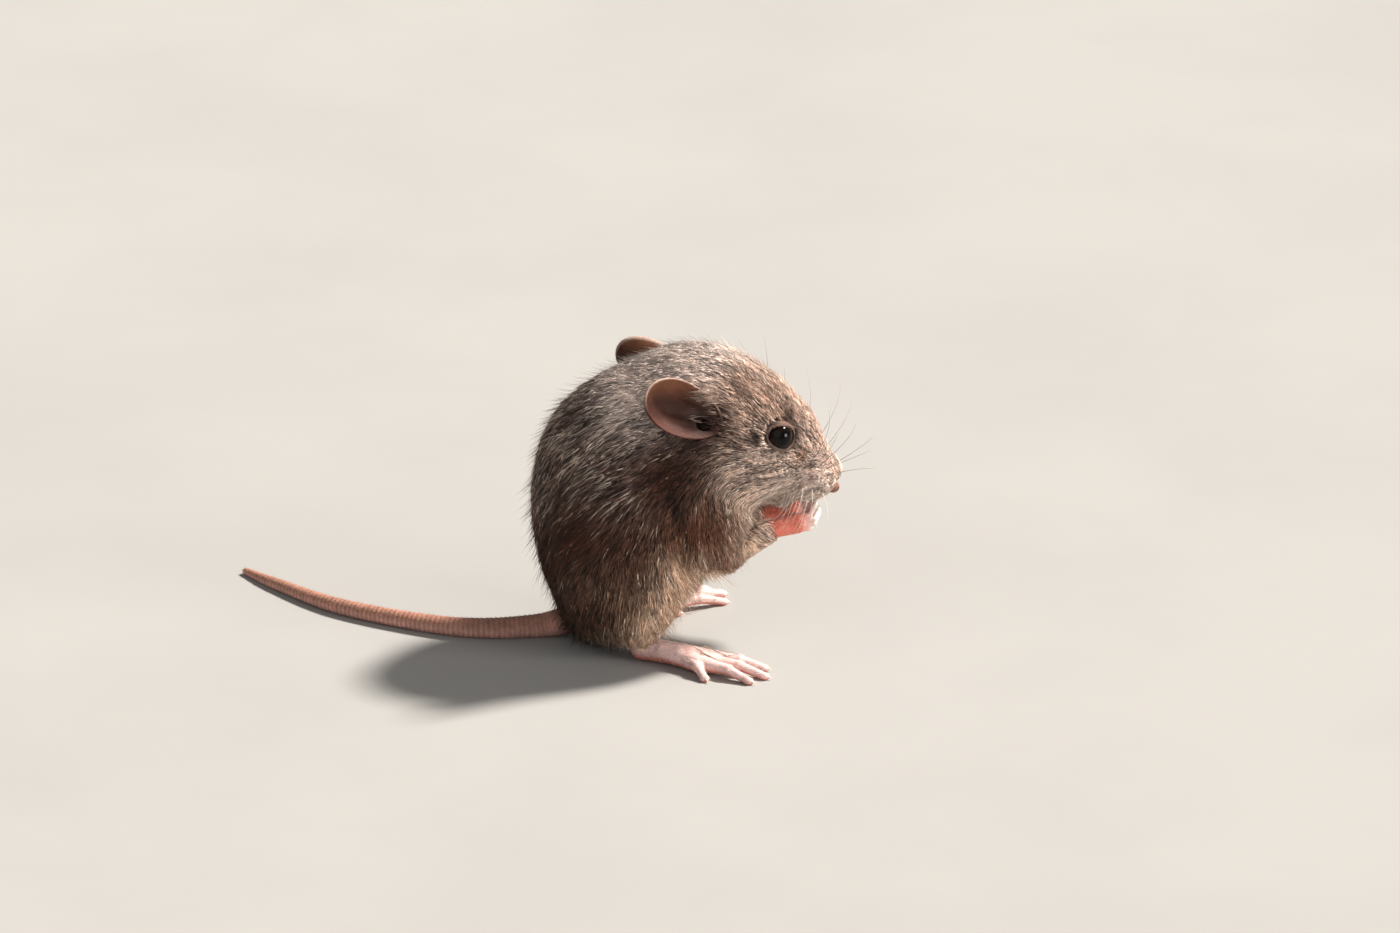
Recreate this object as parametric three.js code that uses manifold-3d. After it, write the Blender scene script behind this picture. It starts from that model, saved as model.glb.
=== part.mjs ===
// A young field mouse sitting up on its haunches with both forepaws at its mouth, life size.
// Millimetres. +X is the way it faces, +Y its left, +Z up.
// The origin is the middle of its seat on the floor. Every outline runs to the tips of the coat.

import * as THREE from 'three';
import { mergeVertices } from 'three/addons/utils/BufferGeometryUtils.js';
import Module from 'manifold-3d';

const wasm = await Module();
wasm.setup();

const V = (x, y, z) => new THREE.Vector3(x, y, z);
const DEGREE = Math.PI / 180;

// ---------------------------------------------------------------- driving dimensions

const GAP = 0.3;                          // left between two solids that meet
const BODY_GAP = 0.45;                    // left round the body by what grows from it
const SIDES = { right: -1, left: 1 };

// The trunk is a stack of rounds: centre, radii.
const RUMP = [V(2.3, 0, 12.4), V(9.4, 9.8, 12.4)];
const SEAT = [V(0.6, 0, 4.4), V(5.4, 5.0, 4.7)];
const BACK = [V(3.1, 0, 21.6), V(11.4, 10.6, 13.7)];
const CHEST = [V(10.0, 0, 19.2), V(9.4, 8.6, 9.0)];
const NAPE = [V(8.8, 0.2, 27.2), V(9.2, 7.8, 9.8)];
const SHOULDER = [V(12.0, 5.5, 17.2), V(5.6, 3.8, 5.4)];
const HAUNCH = [V(3.0, 7.1, 10.2), V(7.0, 4.1, 7.2)];
const HAUNCH_LEAN = -15;

// The head's own frame: +X to the nose, +Z to the crown.
const HEAD_AT = V(15.5, 0.8, 28.0);
const HEAD_YAW = 1;
const HEAD_NOD = 24.5;
const HEAD_TILT = -6;
const SKULL = [V(-2.4, 0, 1.2), V(10.2, 8.1, 8.35)];
const FACE = [V(4.0, 0, 0.5), V(8.0, 6.0, 7.0)];
const CHEEK = [V(2.2, 4.1, -3.2), V(6.6, 3.9, 4.8)];
const SNOUT = { from: V(8.4, 0, 0.4), to: V(14.0, 0, -0.9), radii: [5.0, 2.62] };
const LIP = [V(11.0, 2.0, -2.5), V(4.3, 2.5, 2.7)];
const CHIN = { from: V(4.0, 0, -5.0), to: V(10.8, 0, -5.9), radii: [3.2, 1.4] };
const NOSE = [V(16.0, 0, -2.3), V(1.05, 1.2, 0.85)];
const JAW = [V(6.6, 0, -9.0), V(6.4, 4.6, 4.6)];          // what is parted off as the lower jaw
const EYE_AT = V(5.7, 5.05, 2.2);
const EYE_RADIUS = 1.85;
const EAR = {
  centre: V(-8.2, 8.6, 1.6),
  length: V(-0.95, 0.24, 0.10),           // from the root to the tip
  opening: V(0.36, 0.88, 0.30),           // the way the cup faces
  half: [5.9, 3.4],                       // half its length and half its width
  taper: 0.12,                            // how much broader it grows towards the tip
  depth: 1.9,
  thickness: 0.6,
  clear: 3.2,                             // how far the coat is kept back over the cup
};

// The planes that part trunk, neck and head: a point, and the way to the head.
const NECK_LOW = [V(8.8, 0, 23.6), V(0.70, 0, 0.71)];
const NECK_HIGH = [V(12.0, 0.3, 26.7), V(0.79, 0, 0.61)];

// How softly neighbouring rounds run into each other.
const FILLET = {
  back: 6, chest: 5, seat: 2.5, haunch: 3, shoulder: 3, nape: 5,
  face: 3, snout: 2, cheek: 2.5, lip: 2, chin: 1, neck: 4,
};

// What is parted off the trunk as the upper arm and the thigh.
const UPPER_ARM = [V(12.4, 7.6, 16.4), V(5.0, 4.2, 5.2)];
const THIGH = [V(2.8, 9.4, 9.6), V(7.2, 5.4, 7.6)];

const ELBOW = V(15.4, 5.0, 12.9);
const WRIST = V(21.2, 3.2, 15.4);
const FOREARM_RADII = [2.1, 1.5];
const PALM = { to: V(24.3, 2.3, 15.7), radii: [1.55, 1.4] };
// Each finger: how far its root stands out from and above the palm's end.
const FINGERS = [[-0.9, 1.06], [-0.3, 0.42], [0.35, -0.24], [0.9, -0.94]];
// A finger's root: ahead of the palm's end, out from the middle plane, and how the fingers close in.
const FINGER_ROOT = { ahead: 0.6, out: 2.5, closing: 0.3 };
// From its root to its knuckle, its tip and its claw's tip.
const FINGER_STEPS = [V(1.75, -0.1, 0.1), V(0.7, -0.9, 0.9), V(-0.1, -0.35, 0.5)];
// The outer fingers start further back, and are shorter.
const FINGER_ARC = { back: 0.40, shorter: 0.35 };
const FINGER_RADII = [0.62, 0.55, 0.42, 0.14];

// From the heel to the knee and to the ankle.
const KNEE = V(-1.2, 1.0, 4.54);
const ANKLE = V(0.2, 0, 0.6);
const SHANK_RADII = [2.5, 1.75];

const FEET = {
  right: { heel: V(4.7, -6.5, 1.46), splay: 29 },
  left: { heel: V(1.3, 6.4, 1.46), splay: 21 },
};
const SOLE = { length: 6.5, drop: 0.1, radii: [1.6, 1.5] };      // from the heel to the ball of the foot
// Each toe: root along the foot, root out from its middle, heading outward in degrees, length, radius.
const TOES = [
  [5.6, -1.0, -31, 3.6, 0.65],
  [9.3, -1.25, -9, 6.2, 0.66],
  [9.6, 0.0, 1, 6.9, 0.68],
  [9.2, 1.25, 10, 6.2, 0.66],
  [7.0, 1.2, 40, 3.8, 0.65],
];

// Every toe: where it leaves the instep, how its root drops and its knuckle rises, and its claw.
const INSTEP = { back: 4, out: 0.5, up: 0.1, radius: 1.05 };
const TOE = { rootDrop: 0.35, rootRadius: 0.95, knuckleRise: 0.45, tipHeight: 0.4, tipRadius: 0.46 };
const CLAW = { length: 1.0, height: 0.25, radius: 0.14 };

// The tail's middle line and its radius along it, from the root to the tip.
const TAIL_LINE = [
  V(-2.0, 0.6, 3.4), V(-6.6, 2.3, 1.42), V(-14.5, 2.6, 1.18), V(-22.1, 5.6, 1.06), V(-32.0, 12.4, 0.92),
  V(-39.0, 20.8, 0.68), V(-42.5, 26.0, 0.42),
];
const TAIL_RADII = [2.0, 1.5, 1.25, 1.12, 0.98, 0.74, 0.45];
const TAIL_CUTS = [0.36, 0.7];            // where it is parted, as shares of its length

// Points well inside each body, from which its skin is drawn. The head's is in its own frame.
const HEAD_MIDDLE = V(2.0, 0, 0.2);
const NECK_MIDDLE = V(10.4, 0, 25.2);
const TRUNK_MIDDLE = V(3.0, 0, 17.0);
const BODY_MIDDLE = V(8.0, 0, 21.0);
const HEAD_STRETCH = V(1.5, 1, 1);        // more of the head's corners towards the muzzle

// How often each edge of an icosahedron is split for each kind of skin.
const SPLITS = { body: 7, neck: 4, zone: 2, eye: 2, small: 1 };
// Sides round each tube, and steps along the bent ones.
const ROUND_SIDES = { limb: 10, foot: 9, tail: 8, digit: 6 };
const BENT_STEPS = { finger: 4, toe: 5, tail: 18 };
const EAR_SEGMENTS = [12, 8];             // round its rim, and from its inner face to its outer
const MERGE = 1e-4;                       // corners closer than this are one

// ---------------------------------------------------------------- colours

const coat = new THREE.MeshStandardMaterial({ color: 0x6b5a49, roughness: 0.95, metalness: 0 });
const headCoat = new THREE.MeshStandardMaterial({ color: 0x806a52, roughness: 0.95, metalness: 0 });
const bareSkin = new THREE.MeshStandardMaterial({ color: 0xd09a8c, roughness: 0.6, metalness: 0 });
const earSkin = new THREE.MeshStandardMaterial({ color: 0x8d6658, roughness: 0.7, metalness: 0 });
const noseSkin = new THREE.MeshStandardMaterial({ color: 0xa87468, roughness: 0.5, metalness: 0 });
const tailSkin = new THREE.MeshStandardMaterial({ color: 0x84604f, roughness: 0.75, metalness: 0 });
const eyeBlack = new THREE.MeshStandardMaterial({ color: 0x0b0908, roughness: 0.08, metalness: 0 });

// ---------------------------------------------------------------- distance fields
// A field gives a point's distance to a surface, negative inside.

// An ellipsoid, leaning about Y by lean degrees.
function round([centre, radii], lean = 0) {
  const level = new THREE.Quaternion().setFromAxisAngle(V(0, 1, 0), -lean * DEGREE);
  return (p) => {
    const q = p.clone().sub(centre).applyQuaternion(level).divide(radii);
    const reach = q.length();
    const slope = q.divide(radii).length();
    return slope > 0 ? (reach * (reach - 1)) / slope : -Math.min(...radii.toArray());
  };
}

// A straight bar with round ends, of radius radii[0] at from and radii[1] at to.
function bar(from, to, radii) {
  const axis = to.clone().sub(from);
  const span = axis.lengthSq();
  return (p) => {
    const q = p.clone().sub(from);
    const share = THREE.MathUtils.clamp(q.dot(axis) / span, 0, 1);
    return q.addScaledVector(axis, -share).length() - THREE.MathUtils.lerp(radii[0], radii[1], share);
  };
}

// One field for several, filleted where they meet.
function blend(fillet, ...fields) {
  return (p) => fields.map((field) => field(p)).reduce((a, b) => {
    const near = Math.max(fillet - Math.abs(a - b), 0) / fillet;
    return Math.min(a, b) - near * near * fillet * 0.25;
  });
}

const mirrored = ([centre, radii], side) => [V(centre.x, centre.y * side, centre.z), radii];
const aside = (point, side) => V(point.x, point.y * side, point.z);

// ---------------------------------------------------------------- solids

function solid(geometry) {
  geometry.deleteAttribute('normal');
  geometry.deleteAttribute('uv');
  const merged = mergeVertices(geometry, MERGE);
  const corners = [];
  for (let i = 0; i < merged.index.count; i += 3) {
    const [a, b, c] = [0, 1, 2].map((k) => merged.index.getX(i + k));
    if (a !== b && b !== c && c !== a) corners.push(a, b, c);
  }
  const vertProperties = Float32Array.from(merged.attributes.position.array);
  const triVerts = Uint32Array.from(corners);
  return new wasm.Manifold(new wasm.Mesh({ numProp: 3, vertProperties, triVerts }));
}

// The search along each ray strides out by a cautious share of the distance left, then halves.
const CAUTION = 0.6;
const SHORTEST_STRIDE = 0.05;
const HALVINGS = 24;

// A closed skin drawn over a field: each corner of a fine icosahedron moves out along its ray from
// the centre until it leaves the field. A level above 0 gives a swollen copy, for cutting clearance.
function wrap(field, centre, detail, level = 0, stretch = V(1, 1, 1)) {
  const sphere = new THREE.IcosahedronGeometry(1, detail);
  sphere.deleteAttribute('normal');
  sphere.deleteAttribute('uv');
  const geometry = mergeVertices(sphere, MERGE);
  const corner = geometry.attributes.position;
  const probe = V(0, 0, 0);
  for (let i = 0; i < corner.count; i += 1) {
    const ray = V(0, 0, 0).fromBufferAttribute(corner, i).multiply(stretch).normalize();
    const depth = (t) => field(probe.copy(centre).addScaledVector(ray, t)) - level;
    let [inside, outside] = [0, 0];
    for (let d = depth(0); d < 0; d = depth(outside)) {
      inside = outside;
      outside += Math.max(-CAUTION * d, SHORTEST_STRIDE);
    }
    for (let halving = 0; halving < HALVINGS; halving += 1) {
      const middle = (inside + outside) / 2;
      if (depth(middle) < 0) inside = middle;
      else outside = middle;
    }
    ray.multiplyScalar(outside).add(centre);
    corner.setXYZ(i, ray.x, ray.y, ray.z);
  }
  return solid(geometry);
}

// A round-ended tube along a curve, its radius taken from evenly spaced values.
function tube(curve, radii, sides, steps = 1) {
  const length = 2;
  const geometry = new THREE.CapsuleGeometry(1, length, Math.round(sides / 5), sides, steps);
  const frames = curve.computeFrenetFrames(steps, false);
  const corner = geometry.attributes.position;
  for (let i = 0; i < corner.count; i += 1) {
    const across = V(0, 0, 0).fromBufferAttribute(corner, i);
    const along = THREE.MathUtils.clamp(across.y / length + 0.5, 0, 1);
    const beyond = across.y - (along - 0.5) * length;
    const step = Math.round(along * steps);
    const slot = Math.min(Math.floor(along * (radii.length - 1)), radii.length - 2);
    const radius = THREE.MathUtils.lerp(radii[slot], radii[slot + 1], along * (radii.length - 1) - slot);
    const place = curve.getPointAt(along)
      .addScaledVector(frames.normals[step], across.x * radius)
      .addScaledVector(frames.binormals[step], -across.z * radius)
      .addScaledVector(frames.tangents[step], beyond * radius);
    corner.setXYZ(i, place.x, place.y, place.z);
  }
  return solid(geometry);
}

const rod = (from, to, radii, sides) => tube(new THREE.LineCurve3(from, to), radii, sides);

// Everything on one side of a plane, the side that away points to.
function beyond(point, away) {
  const size = 200;
  const block = new THREE.BoxGeometry(size, size, size).translate(0, 0, size / 2);
  block.applyQuaternion(new THREE.Quaternion().setFromUnitVectors(V(0, 0, 1), away.clone().normalize()));
  block.translate(point.x, point.y, point.z);
  return solid(block);
}

const joined = (solids) => solids.reduce((whole, piece) => whole.add(piece));
const floor = beyond(V(0, 0, 0), V(0, 0, -1));

const mouse = new THREE.Group();

function node(name, shape, material) {
  const { vertProperties, triVerts } = shape.getMesh();
  const geometry = new THREE.BufferGeometry();
  geometry.setAttribute('position', new THREE.BufferAttribute(Float32Array.from(vertProperties), 3));
  geometry.setIndex(Array.from(triVerts));
  geometry.computeVertexNormals();
  const mesh = new THREE.Mesh(geometry, material);
  mesh.name = name;
  mouse.add(mesh);
}

// ---------------------------------------------------------------- body and head as one field

const headTurn = new THREE.Euler(HEAD_TILT * DEGREE, HEAD_NOD * DEGREE, HEAD_YAW * DEGREE, 'ZYX');
const headFrame = new THREE.Matrix4().makeRotationFromEuler(headTurn).setPosition(HEAD_AT);
const toHead = headFrame.clone().invert();
const fromHead = (point) => point.clone().applyMatrix4(headFrame);
const inHead = (field) => (p) => field(p.clone().applyMatrix4(toHead));

function trunkField() {
  let field = blend(FILLET.back, round(RUMP), round(BACK));
  field = blend(FILLET.chest, field, round(CHEST));
  field = blend(FILLET.seat, field, round(SEAT));
  for (const side of Object.values(SIDES)) {
    field = blend(FILLET.haunch, field, round(mirrored(HAUNCH, side), HAUNCH_LEAN));
    field = blend(FILLET.shoulder, field, round(mirrored(SHOULDER, side)));
  }
  return blend(FILLET.nape, field, round(NAPE));
}

function headField() {
  let field = blend(FILLET.face, round(SKULL), round(FACE));
  field = blend(FILLET.snout, field, bar(SNOUT.from, SNOUT.to, SNOUT.radii));
  for (const side of Object.values(SIDES)) {
    field = blend(FILLET.cheek, field, round(mirrored(CHEEK, side)));
    field = blend(FILLET.lip, field, round(mirrored(LIP, side)));
  }
  return inHead(blend(FILLET.chin, field, bar(CHIN.from, CHIN.to, CHIN.radii)));
}

const body = blend(FILLET.neck, trunkField(), headField());

// ---------------------------------------------------------------- eyes, nose, jaw and ears

const eyeAt = (side) => fromHead(aside(EYE_AT, side));

function eyeball(side, radius, detail) {
  const at = eyeAt(side);
  return solid(new THREE.IcosahedronGeometry(radius, detail).translate(at.x, at.y, at.z));
}

const nose = (grow = 0) => wrap(inHead(round(NOSE)), fromHead(NOSE[0]), SPLITS.small, grow);
const jawZone = (grow = 0) => wrap(inHead(round(JAW)), fromHead(JAW[0]), SPLITS.zone, grow);

// The ear is a thin cup: a sphere whose upper half becomes the inner face and lower half the outer.
// Its pocket in the coat is wider by the gap all round, and is filled up over the cup.
function ear(side, pocket = false) {
  const grow = pocket ? GAP : 0;
  const above = pocket ? EAR.clear : EAR.thickness / 2;
  const below = EAR.thickness / 2 + grow;
  const length = EAR.length.clone().normalize();
  const opening = EAR.opening.clone().addScaledVector(length, -EAR.opening.dot(length)).normalize();
  const width = opening.clone().cross(length);
  const geometry = new THREE.SphereGeometry(1, ...EAR_SEGMENTS);
  const corner = geometry.attributes.position;
  for (let i = 0; i < corner.count; i += 1) {
    const [x, y, z] = [corner.getX(i), corner.getZ(i), corner.getY(i)];
    const rim = Math.min(Math.hypot(x, y), 1);
    const broader = 1 + EAR.taper * x;
    const bowl = EAR.depth * (rim * rim - 1) + z * (z > 0 ? above : below);
    const place = EAR.centre.clone()
      .addScaledVector(length, x * (EAR.half[0] + grow))
      .addScaledVector(width, y * (EAR.half[1] * broader + grow))
      .addScaledVector(opening, bowl + EAR.depth / 2);
    place.y *= side;
    place.applyMatrix4(headFrame);
    corner.setXYZ(i, place.x, place.y, place.z);
  }
  // The sphere's y and z were exchanged, so the side that is not mirrored is turned inside out.
  if (side === 1) geometry.index.array.reverse();
  return solid(geometry);
}

// ---------------------------------------------------------------- head, neck and trunk

const headAbove = beyond(NECK_HIGH[0], NECK_HIGH[1]);
const neckHigh = NECK_HIGH[0].clone().addScaledVector(NECK_HIGH[1], -GAP);
const neckLow = NECK_LOW[0].clone().addScaledVector(NECK_LOW[1], GAP);

const earPockets = joined(Object.values(SIDES).map((side) => ear(side, true)));
const wholeHead = wrap(body, fromHead(HEAD_MIDDLE), SPLITS.body, 0, HEAD_STRETCH)
  .intersect(headAbove)
  .subtract(earPockets);
const neck = wrap(body, NECK_MIDDLE, SPLITS.neck)
  .subtract(beyond(neckHigh, NECK_HIGH[1]))
  .intersect(beyond(neckLow, NECK_LOW[1]))
  .subtract(earPockets);
const wholeTrunk = wrap(body, TRUNK_MIDDLE, SPLITS.body)
  .subtract(beyond(NECK_LOW[0], NECK_LOW[1]))
  .subtract(earPockets)
  .subtract(floor);
const swollenBody = wrap(body, BODY_MIDDLE, SPLITS.body, BODY_GAP);

let head = wholeHead.subtract(jawZone(GAP)).subtract(nose(GAP / 2));
for (const side of Object.values(SIDES)) {
  head = head.subtract(eyeball(side, EYE_RADIUS + GAP, SPLITS.small));
}

node('head', head, headCoat);
node('lower_jaw', wholeHead.intersect(jawZone()), headCoat);
node('nose', nose(), noseSkin);
node('neck', neck, coat);

for (const [word, side] of Object.entries(SIDES)) {
  node(`eye_${word}`, eyeball(side, EYE_RADIUS, SPLITS.eye), eyeBlack);
  node(`ear_${word}`, ear(side), earSkin);
}

// ---------------------------------------------------------------- arms and upper legs

const wider = (radii, grow) => radii.map((radius) => radius + grow);

function forearm(side, grow = 0) {
  return rod(aside(ELBOW, side), aside(WRIST, side), wider(FOREARM_RADII, grow), ROUND_SIDES.limb);
}

function forepaw(side) {
  const end = aside(PALM.to, side);
  const pieces = [rod(aside(WRIST, side), end, PALM.radii, ROUND_SIDES.limb)];
  for (const [out, up] of FINGERS) {
    const bent = out * out;
    const line = [V(
      end.x + FINGER_ROOT.ahead - FINGER_ARC.back * bent,
      side * (FINGER_ROOT.out - FINGER_ROOT.closing * out),
      end.z + up,
    )];
    for (const step of FINGER_STEPS) line.push(line.at(-1).clone().add(aside(step, side)));
    for (const point of line.slice(1)) point.x -= FINGER_ARC.shorter * bent;
    const curve = new THREE.CatmullRomCurve3(line);
    pieces.push(tube(curve, FINGER_RADII, ROUND_SIDES.digit, BENT_STEPS.finger));
  }
  return joined(pieces);
}

function zone(shape, side, lean, grow) {
  return wrap(round(mirrored(shape, side), lean), aside(shape[0], side), SPLITS.zone, grow);
}

const upperArmZone = (side, grow = 0) => zone(UPPER_ARM, side, 0, grow);
const thighZone = (side, grow = 0) => zone(THIGH, side, HAUNCH_LEAN, grow);

function shank(word, grow = 0) {
  const { heel } = FEET[word];
  const knee = aside(KNEE, SIDES[word]).add(heel);
  return rod(knee, ANKLE.clone().add(heel), wider(SHANK_RADII, grow), ROUND_SIDES.limb);
}

let trunk = wholeTrunk;
for (const [word, side] of Object.entries(SIDES)) {
  const thighClearance = thighZone(side, GAP);
  const arm = wholeTrunk.intersect(upperArmZone(side)).subtract(thighClearance);
  trunk = trunk.subtract(upperArmZone(side, GAP)).subtract(thighClearance);
  trunk = trunk.subtract(shank(word, GAP));
  node(`shank_${word}`, shank(word).subtract(thighClearance).subtract(floor), coat);
  node(`upper_arm_${word}`, arm, coat);
  node(`forearm_${word}`, forearm(side).subtract(swollenBody), coat);
  node(`forepaw_${word}`, forepaw(side).subtract(forearm(side, GAP)).subtract(swollenBody), bareSkin);
  node(`thigh_${word}`, wholeTrunk.intersect(thighZone(side)), coat);
}

// ---------------------------------------------------------------- feet

function hindFoot(word) {
  const { heel, splay } = FEET[word];
  const side = SIDES[word];
  const turn = new THREE.Quaternion().setFromAxisAngle(V(0, 0, 1), splay * side * DEGREE);
  // A point of the foot: so far along it, so far out from its middle line, so high above the heel.
  const place = (along, out, up) => V(along, out * side, up).applyQuaternion(turn).add(heel);
  const pieces = [rod(heel, place(SOLE.length, 0, -SOLE.drop), SOLE.radii, ROUND_SIDES.foot)];
  for (const [along, out, heading, length, radius] of TOES) {
    const toward = (reach, height) => place(
      along + reach * Math.cos(heading * DEGREE),
      out + reach * Math.sin(heading * DEGREE),
      height - heel.z,
    );
    const root = place(along, out, -TOE.rootDrop);
    const tip = toward(length, TOE.tipHeight);
    const line = [
      place(along - INSTEP.back, out * INSTEP.out, INSTEP.up),
      root,
      root.clone().lerp(tip, 0.5).add(V(0, 0, TOE.knuckleRise)),
      tip,
      toward(length + CLAW.length, CLAW.height),
    ];
    const radii = [INSTEP.radius, TOE.rootRadius, radius, TOE.tipRadius, CLAW.radius];
    const curve = new THREE.CatmullRomCurve3(line);
    pieces.push(tube(curve, radii, ROUND_SIDES.digit, BENT_STEPS.toe));
  }
  return joined(pieces).subtract(floor);
}

for (const word of Object.keys(SIDES)) {
  node(`hind_foot_${word}`, hindFoot(word).subtract(shank(word, GAP)).subtract(swollenBody), bareSkin);
}

// ---------------------------------------------------------------- tail

const tailCurve = new THREE.CatmullRomCurve3(TAIL_LINE);
let rest = tube(tailCurve, TAIL_RADII, ROUND_SIDES.tail, BENT_STEPS.tail)
  .subtract(floor)
  .subtract(swollenBody);
['tail_base', 'tail_middle'].forEach((name, i) => {
  const at = tailCurve.getPointAt(TAIL_CUTS[i]);
  const heading = tailCurve.getTangentAt(TAIL_CUTS[i]);
  node(name, rest.subtract(beyond(at, heading)), tailSkin);
  rest = rest.intersect(beyond(at.addScaledVector(heading, GAP), heading));
});
node('tail_tip', rest, tailSkin);

node('trunk', trunk, coat);

export default mouse;
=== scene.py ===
"""Looks of the field mouse: one skin, its coat of fine tufts, eyes, claws and whiskers.

Lengths in this file are millimetres in the part's own frame (+X the way the mouse faces, +Y its left,
+Z up, origin under its seat) and become metres only where a mesh is made.
"""

import math

import bpy
import numpy as np
from mathutils import Matrix, Vector


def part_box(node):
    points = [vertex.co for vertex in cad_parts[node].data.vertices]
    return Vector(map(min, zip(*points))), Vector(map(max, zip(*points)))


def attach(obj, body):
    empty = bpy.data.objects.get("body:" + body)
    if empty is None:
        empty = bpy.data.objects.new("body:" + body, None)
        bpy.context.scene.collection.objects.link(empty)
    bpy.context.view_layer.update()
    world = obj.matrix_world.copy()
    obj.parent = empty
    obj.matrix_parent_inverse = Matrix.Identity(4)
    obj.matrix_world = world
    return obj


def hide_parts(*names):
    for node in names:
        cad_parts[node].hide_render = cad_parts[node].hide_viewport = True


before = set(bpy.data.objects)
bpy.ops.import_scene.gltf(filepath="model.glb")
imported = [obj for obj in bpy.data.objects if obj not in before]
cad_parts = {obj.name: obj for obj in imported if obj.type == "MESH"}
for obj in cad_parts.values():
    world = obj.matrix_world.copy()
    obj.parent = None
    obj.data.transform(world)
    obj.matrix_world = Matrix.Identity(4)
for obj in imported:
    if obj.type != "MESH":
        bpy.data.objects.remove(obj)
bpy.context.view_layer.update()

MM = 0.001
SIDES = {"right": -1.0, "left": 1.0}
SEED, UNDERCOAT_SEED, SWIRL_SEED, LOCK_SEED, STREAK_SEED = 4682, 11, 31, 51, 71
rng = np.random.default_rng(SEED)


def vec(*values):
    return np.array(values, dtype=np.float32)


def unit(v):
    return v / np.maximum(np.linalg.norm(v, axis=-1, keepdims=True), 1e-9)


def smoothstep(low, high, value):
    t = np.clip((value - low) / (high - low), 0.0, 1.0)
    return t * t * (3.0 - 2.0 * t)


def mix(a, b, share):
    return a + (b - a) * share


# ------------------------------------------------------------------ the body's sizes, as in the CAD

RUMP = [(2.3, 0, 12.4), (9.4, 9.8, 12.4)]
SEAT = [(0.6, 0, 4.4), (5.4, 5.0, 4.7)]
BACK = [(3.1, 0, 21.6), (11.4, 10.6, 13.7)]
CHEST = [(10.0, 0, 19.2), (9.4, 8.6, 9.0)]
NAPE = [(8.8, 0.2, 27.2), (9.2, 7.8, 9.8)]
SHOULDER = [(12.0, 5.5, 17.2), (5.6, 3.8, 5.4)]
HAUNCH = [(3.0, 7.1, 10.2), (7.0, 4.1, 7.2)]
HAUNCH_LEAN = -15.0

HEAD_AT = vec(15.5, 0.8, 28.0)
HEAD_YAW, HEAD_NOD, HEAD_TILT = 1.0, 24.5, -6.0
SKULL = [(-2.4, 0, 1.2), (10.2, 8.1, 8.35)]
FACE = [(4.0, 0, 0.5), (8.0, 6.0, 7.0)]
CHEEK = [(2.2, 4.1, -3.2), (6.6, 3.9, 4.8)]
SNOUT = [(8.4, 0, 0.4), (14.0, 0, -0.9), 5.0, 2.62]
LIP = [(11.0, 2.0, -2.5), (4.3, 2.5, 2.7)]
CHIN = [(4.0, 0, -5.0), (10.8, 0, -5.9), 3.2, 1.4]
NOSE = [(16.0, 0, -2.3), (1.05, 1.2, 0.85)]
NOSTRIL = [(16.8, 0.62, -2.35), (0.50, 0.30, 0.25)]
CLEFT = [(16.0, 0, -3.1), (13.3, 0, -4.6), 0.22, 0.3]
EYE_RADIUS = 1.85
EAR_AT = vec(-8.2, 8.6, 1.6)
EAR_LENGTH, EAR_OPENING = vec(-0.95, 0.24, 0.10), vec(0.36, 0.88, 0.30)
EAR_HALF, EAR_DEPTH, EAR_THICKNESS = (5.9, 3.4), 1.9, 0.5
# Folds in the cup: how far across each starts, how it slants, and its height.
EAR_FOLDS = [(0.34, 0.35, 0.34), (-0.22, -0.25, 0.26)]
CANAL_AT, CANAL_SIZE = (-4.4, 6.9, 0.5), (1.5, 1.5, 1.0)
EAR_FLAP_AT, EAR_FLAP_SIZE = (-3.1, 7.9, -0.7), (1.0, 0.55, 1.1)

ARM_ROOT, ELBOW, WRIST = vec(12, 6.4, 14.5), vec(15.4, 5.0, 12.9), vec(21.2, 3.2, 15.4)
ARM_RADII = (2.6, 2.1, 1.7)
PALM_END, PAW_END = vec(24.3, 2.3, 15.7), vec(27, 1.0, 17.5)
# A finger's radii where it leaves the palm, at its root, its knuckle and its tip.
PALM_RADII, FINGER_RADII, FINGER_FILLET = (1.15, 1.35), (0.56, 0.34, 0.31, 0.27), 0.10
FINGERS = [(-0.9, 1.06), (-0.3, 0.42), (0.35, -0.24), (0.9, -0.94)]

FEET = {"right": (vec(4.7, -6.5, 1.46), 29.0), "left": (vec(1.3, 6.4, 1.46), 21.0)}
SOLE = 6.5
KNEE_FROM_HEEL, ANKLE_FROM_HEEL, SHANK_RADII = vec(-1.2, 1, 4.54), vec(0.2, 0, 0.6), (2.5, 1.75)
FOOT_RADII, INSTEP_RADII = (1.5, 1.35), (1.0, 0.9)
TOE_ROOT, TOE_TIP, TOE_PAD = 0.85, 0.47, (0.62, 0.5, 0.42)
# Each toe's root ahead of the heel and out from the middle, its heading, its length and its radius.
TOES = [
    (5.6, -1.0, -31.0, 3.6, 0.65),
    (9.3, -1.25, -9.0, 6.2, 0.66),
    (9.6, 0.0, 1.0, 6.9, 0.68),
    (9.2, 1.25, 10.0, 6.2, 0.66),
    (7.0, 1.2, 40.0, 3.8, 0.65),
]

TAIL_LINE = np.array([
    (-2.0, 0.6, 3.4), (-6.6, 2.3, 1.42), (-14.5, 2.6, 1.18), (-22.1, 5.6, 1.06), (-32.0, 12.4, 0.92),
    (-39.0, 20.8, 0.68), (-42.5, 26.0, 0.42),
])
TAIL_RADII = [2.0, 1.5, 1.25, 1.12, 0.98, 0.74, 0.45]
TAIL_RING, RING_DEPTH, TAIL_STEPS = 0.62, 0.03, 61

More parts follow.
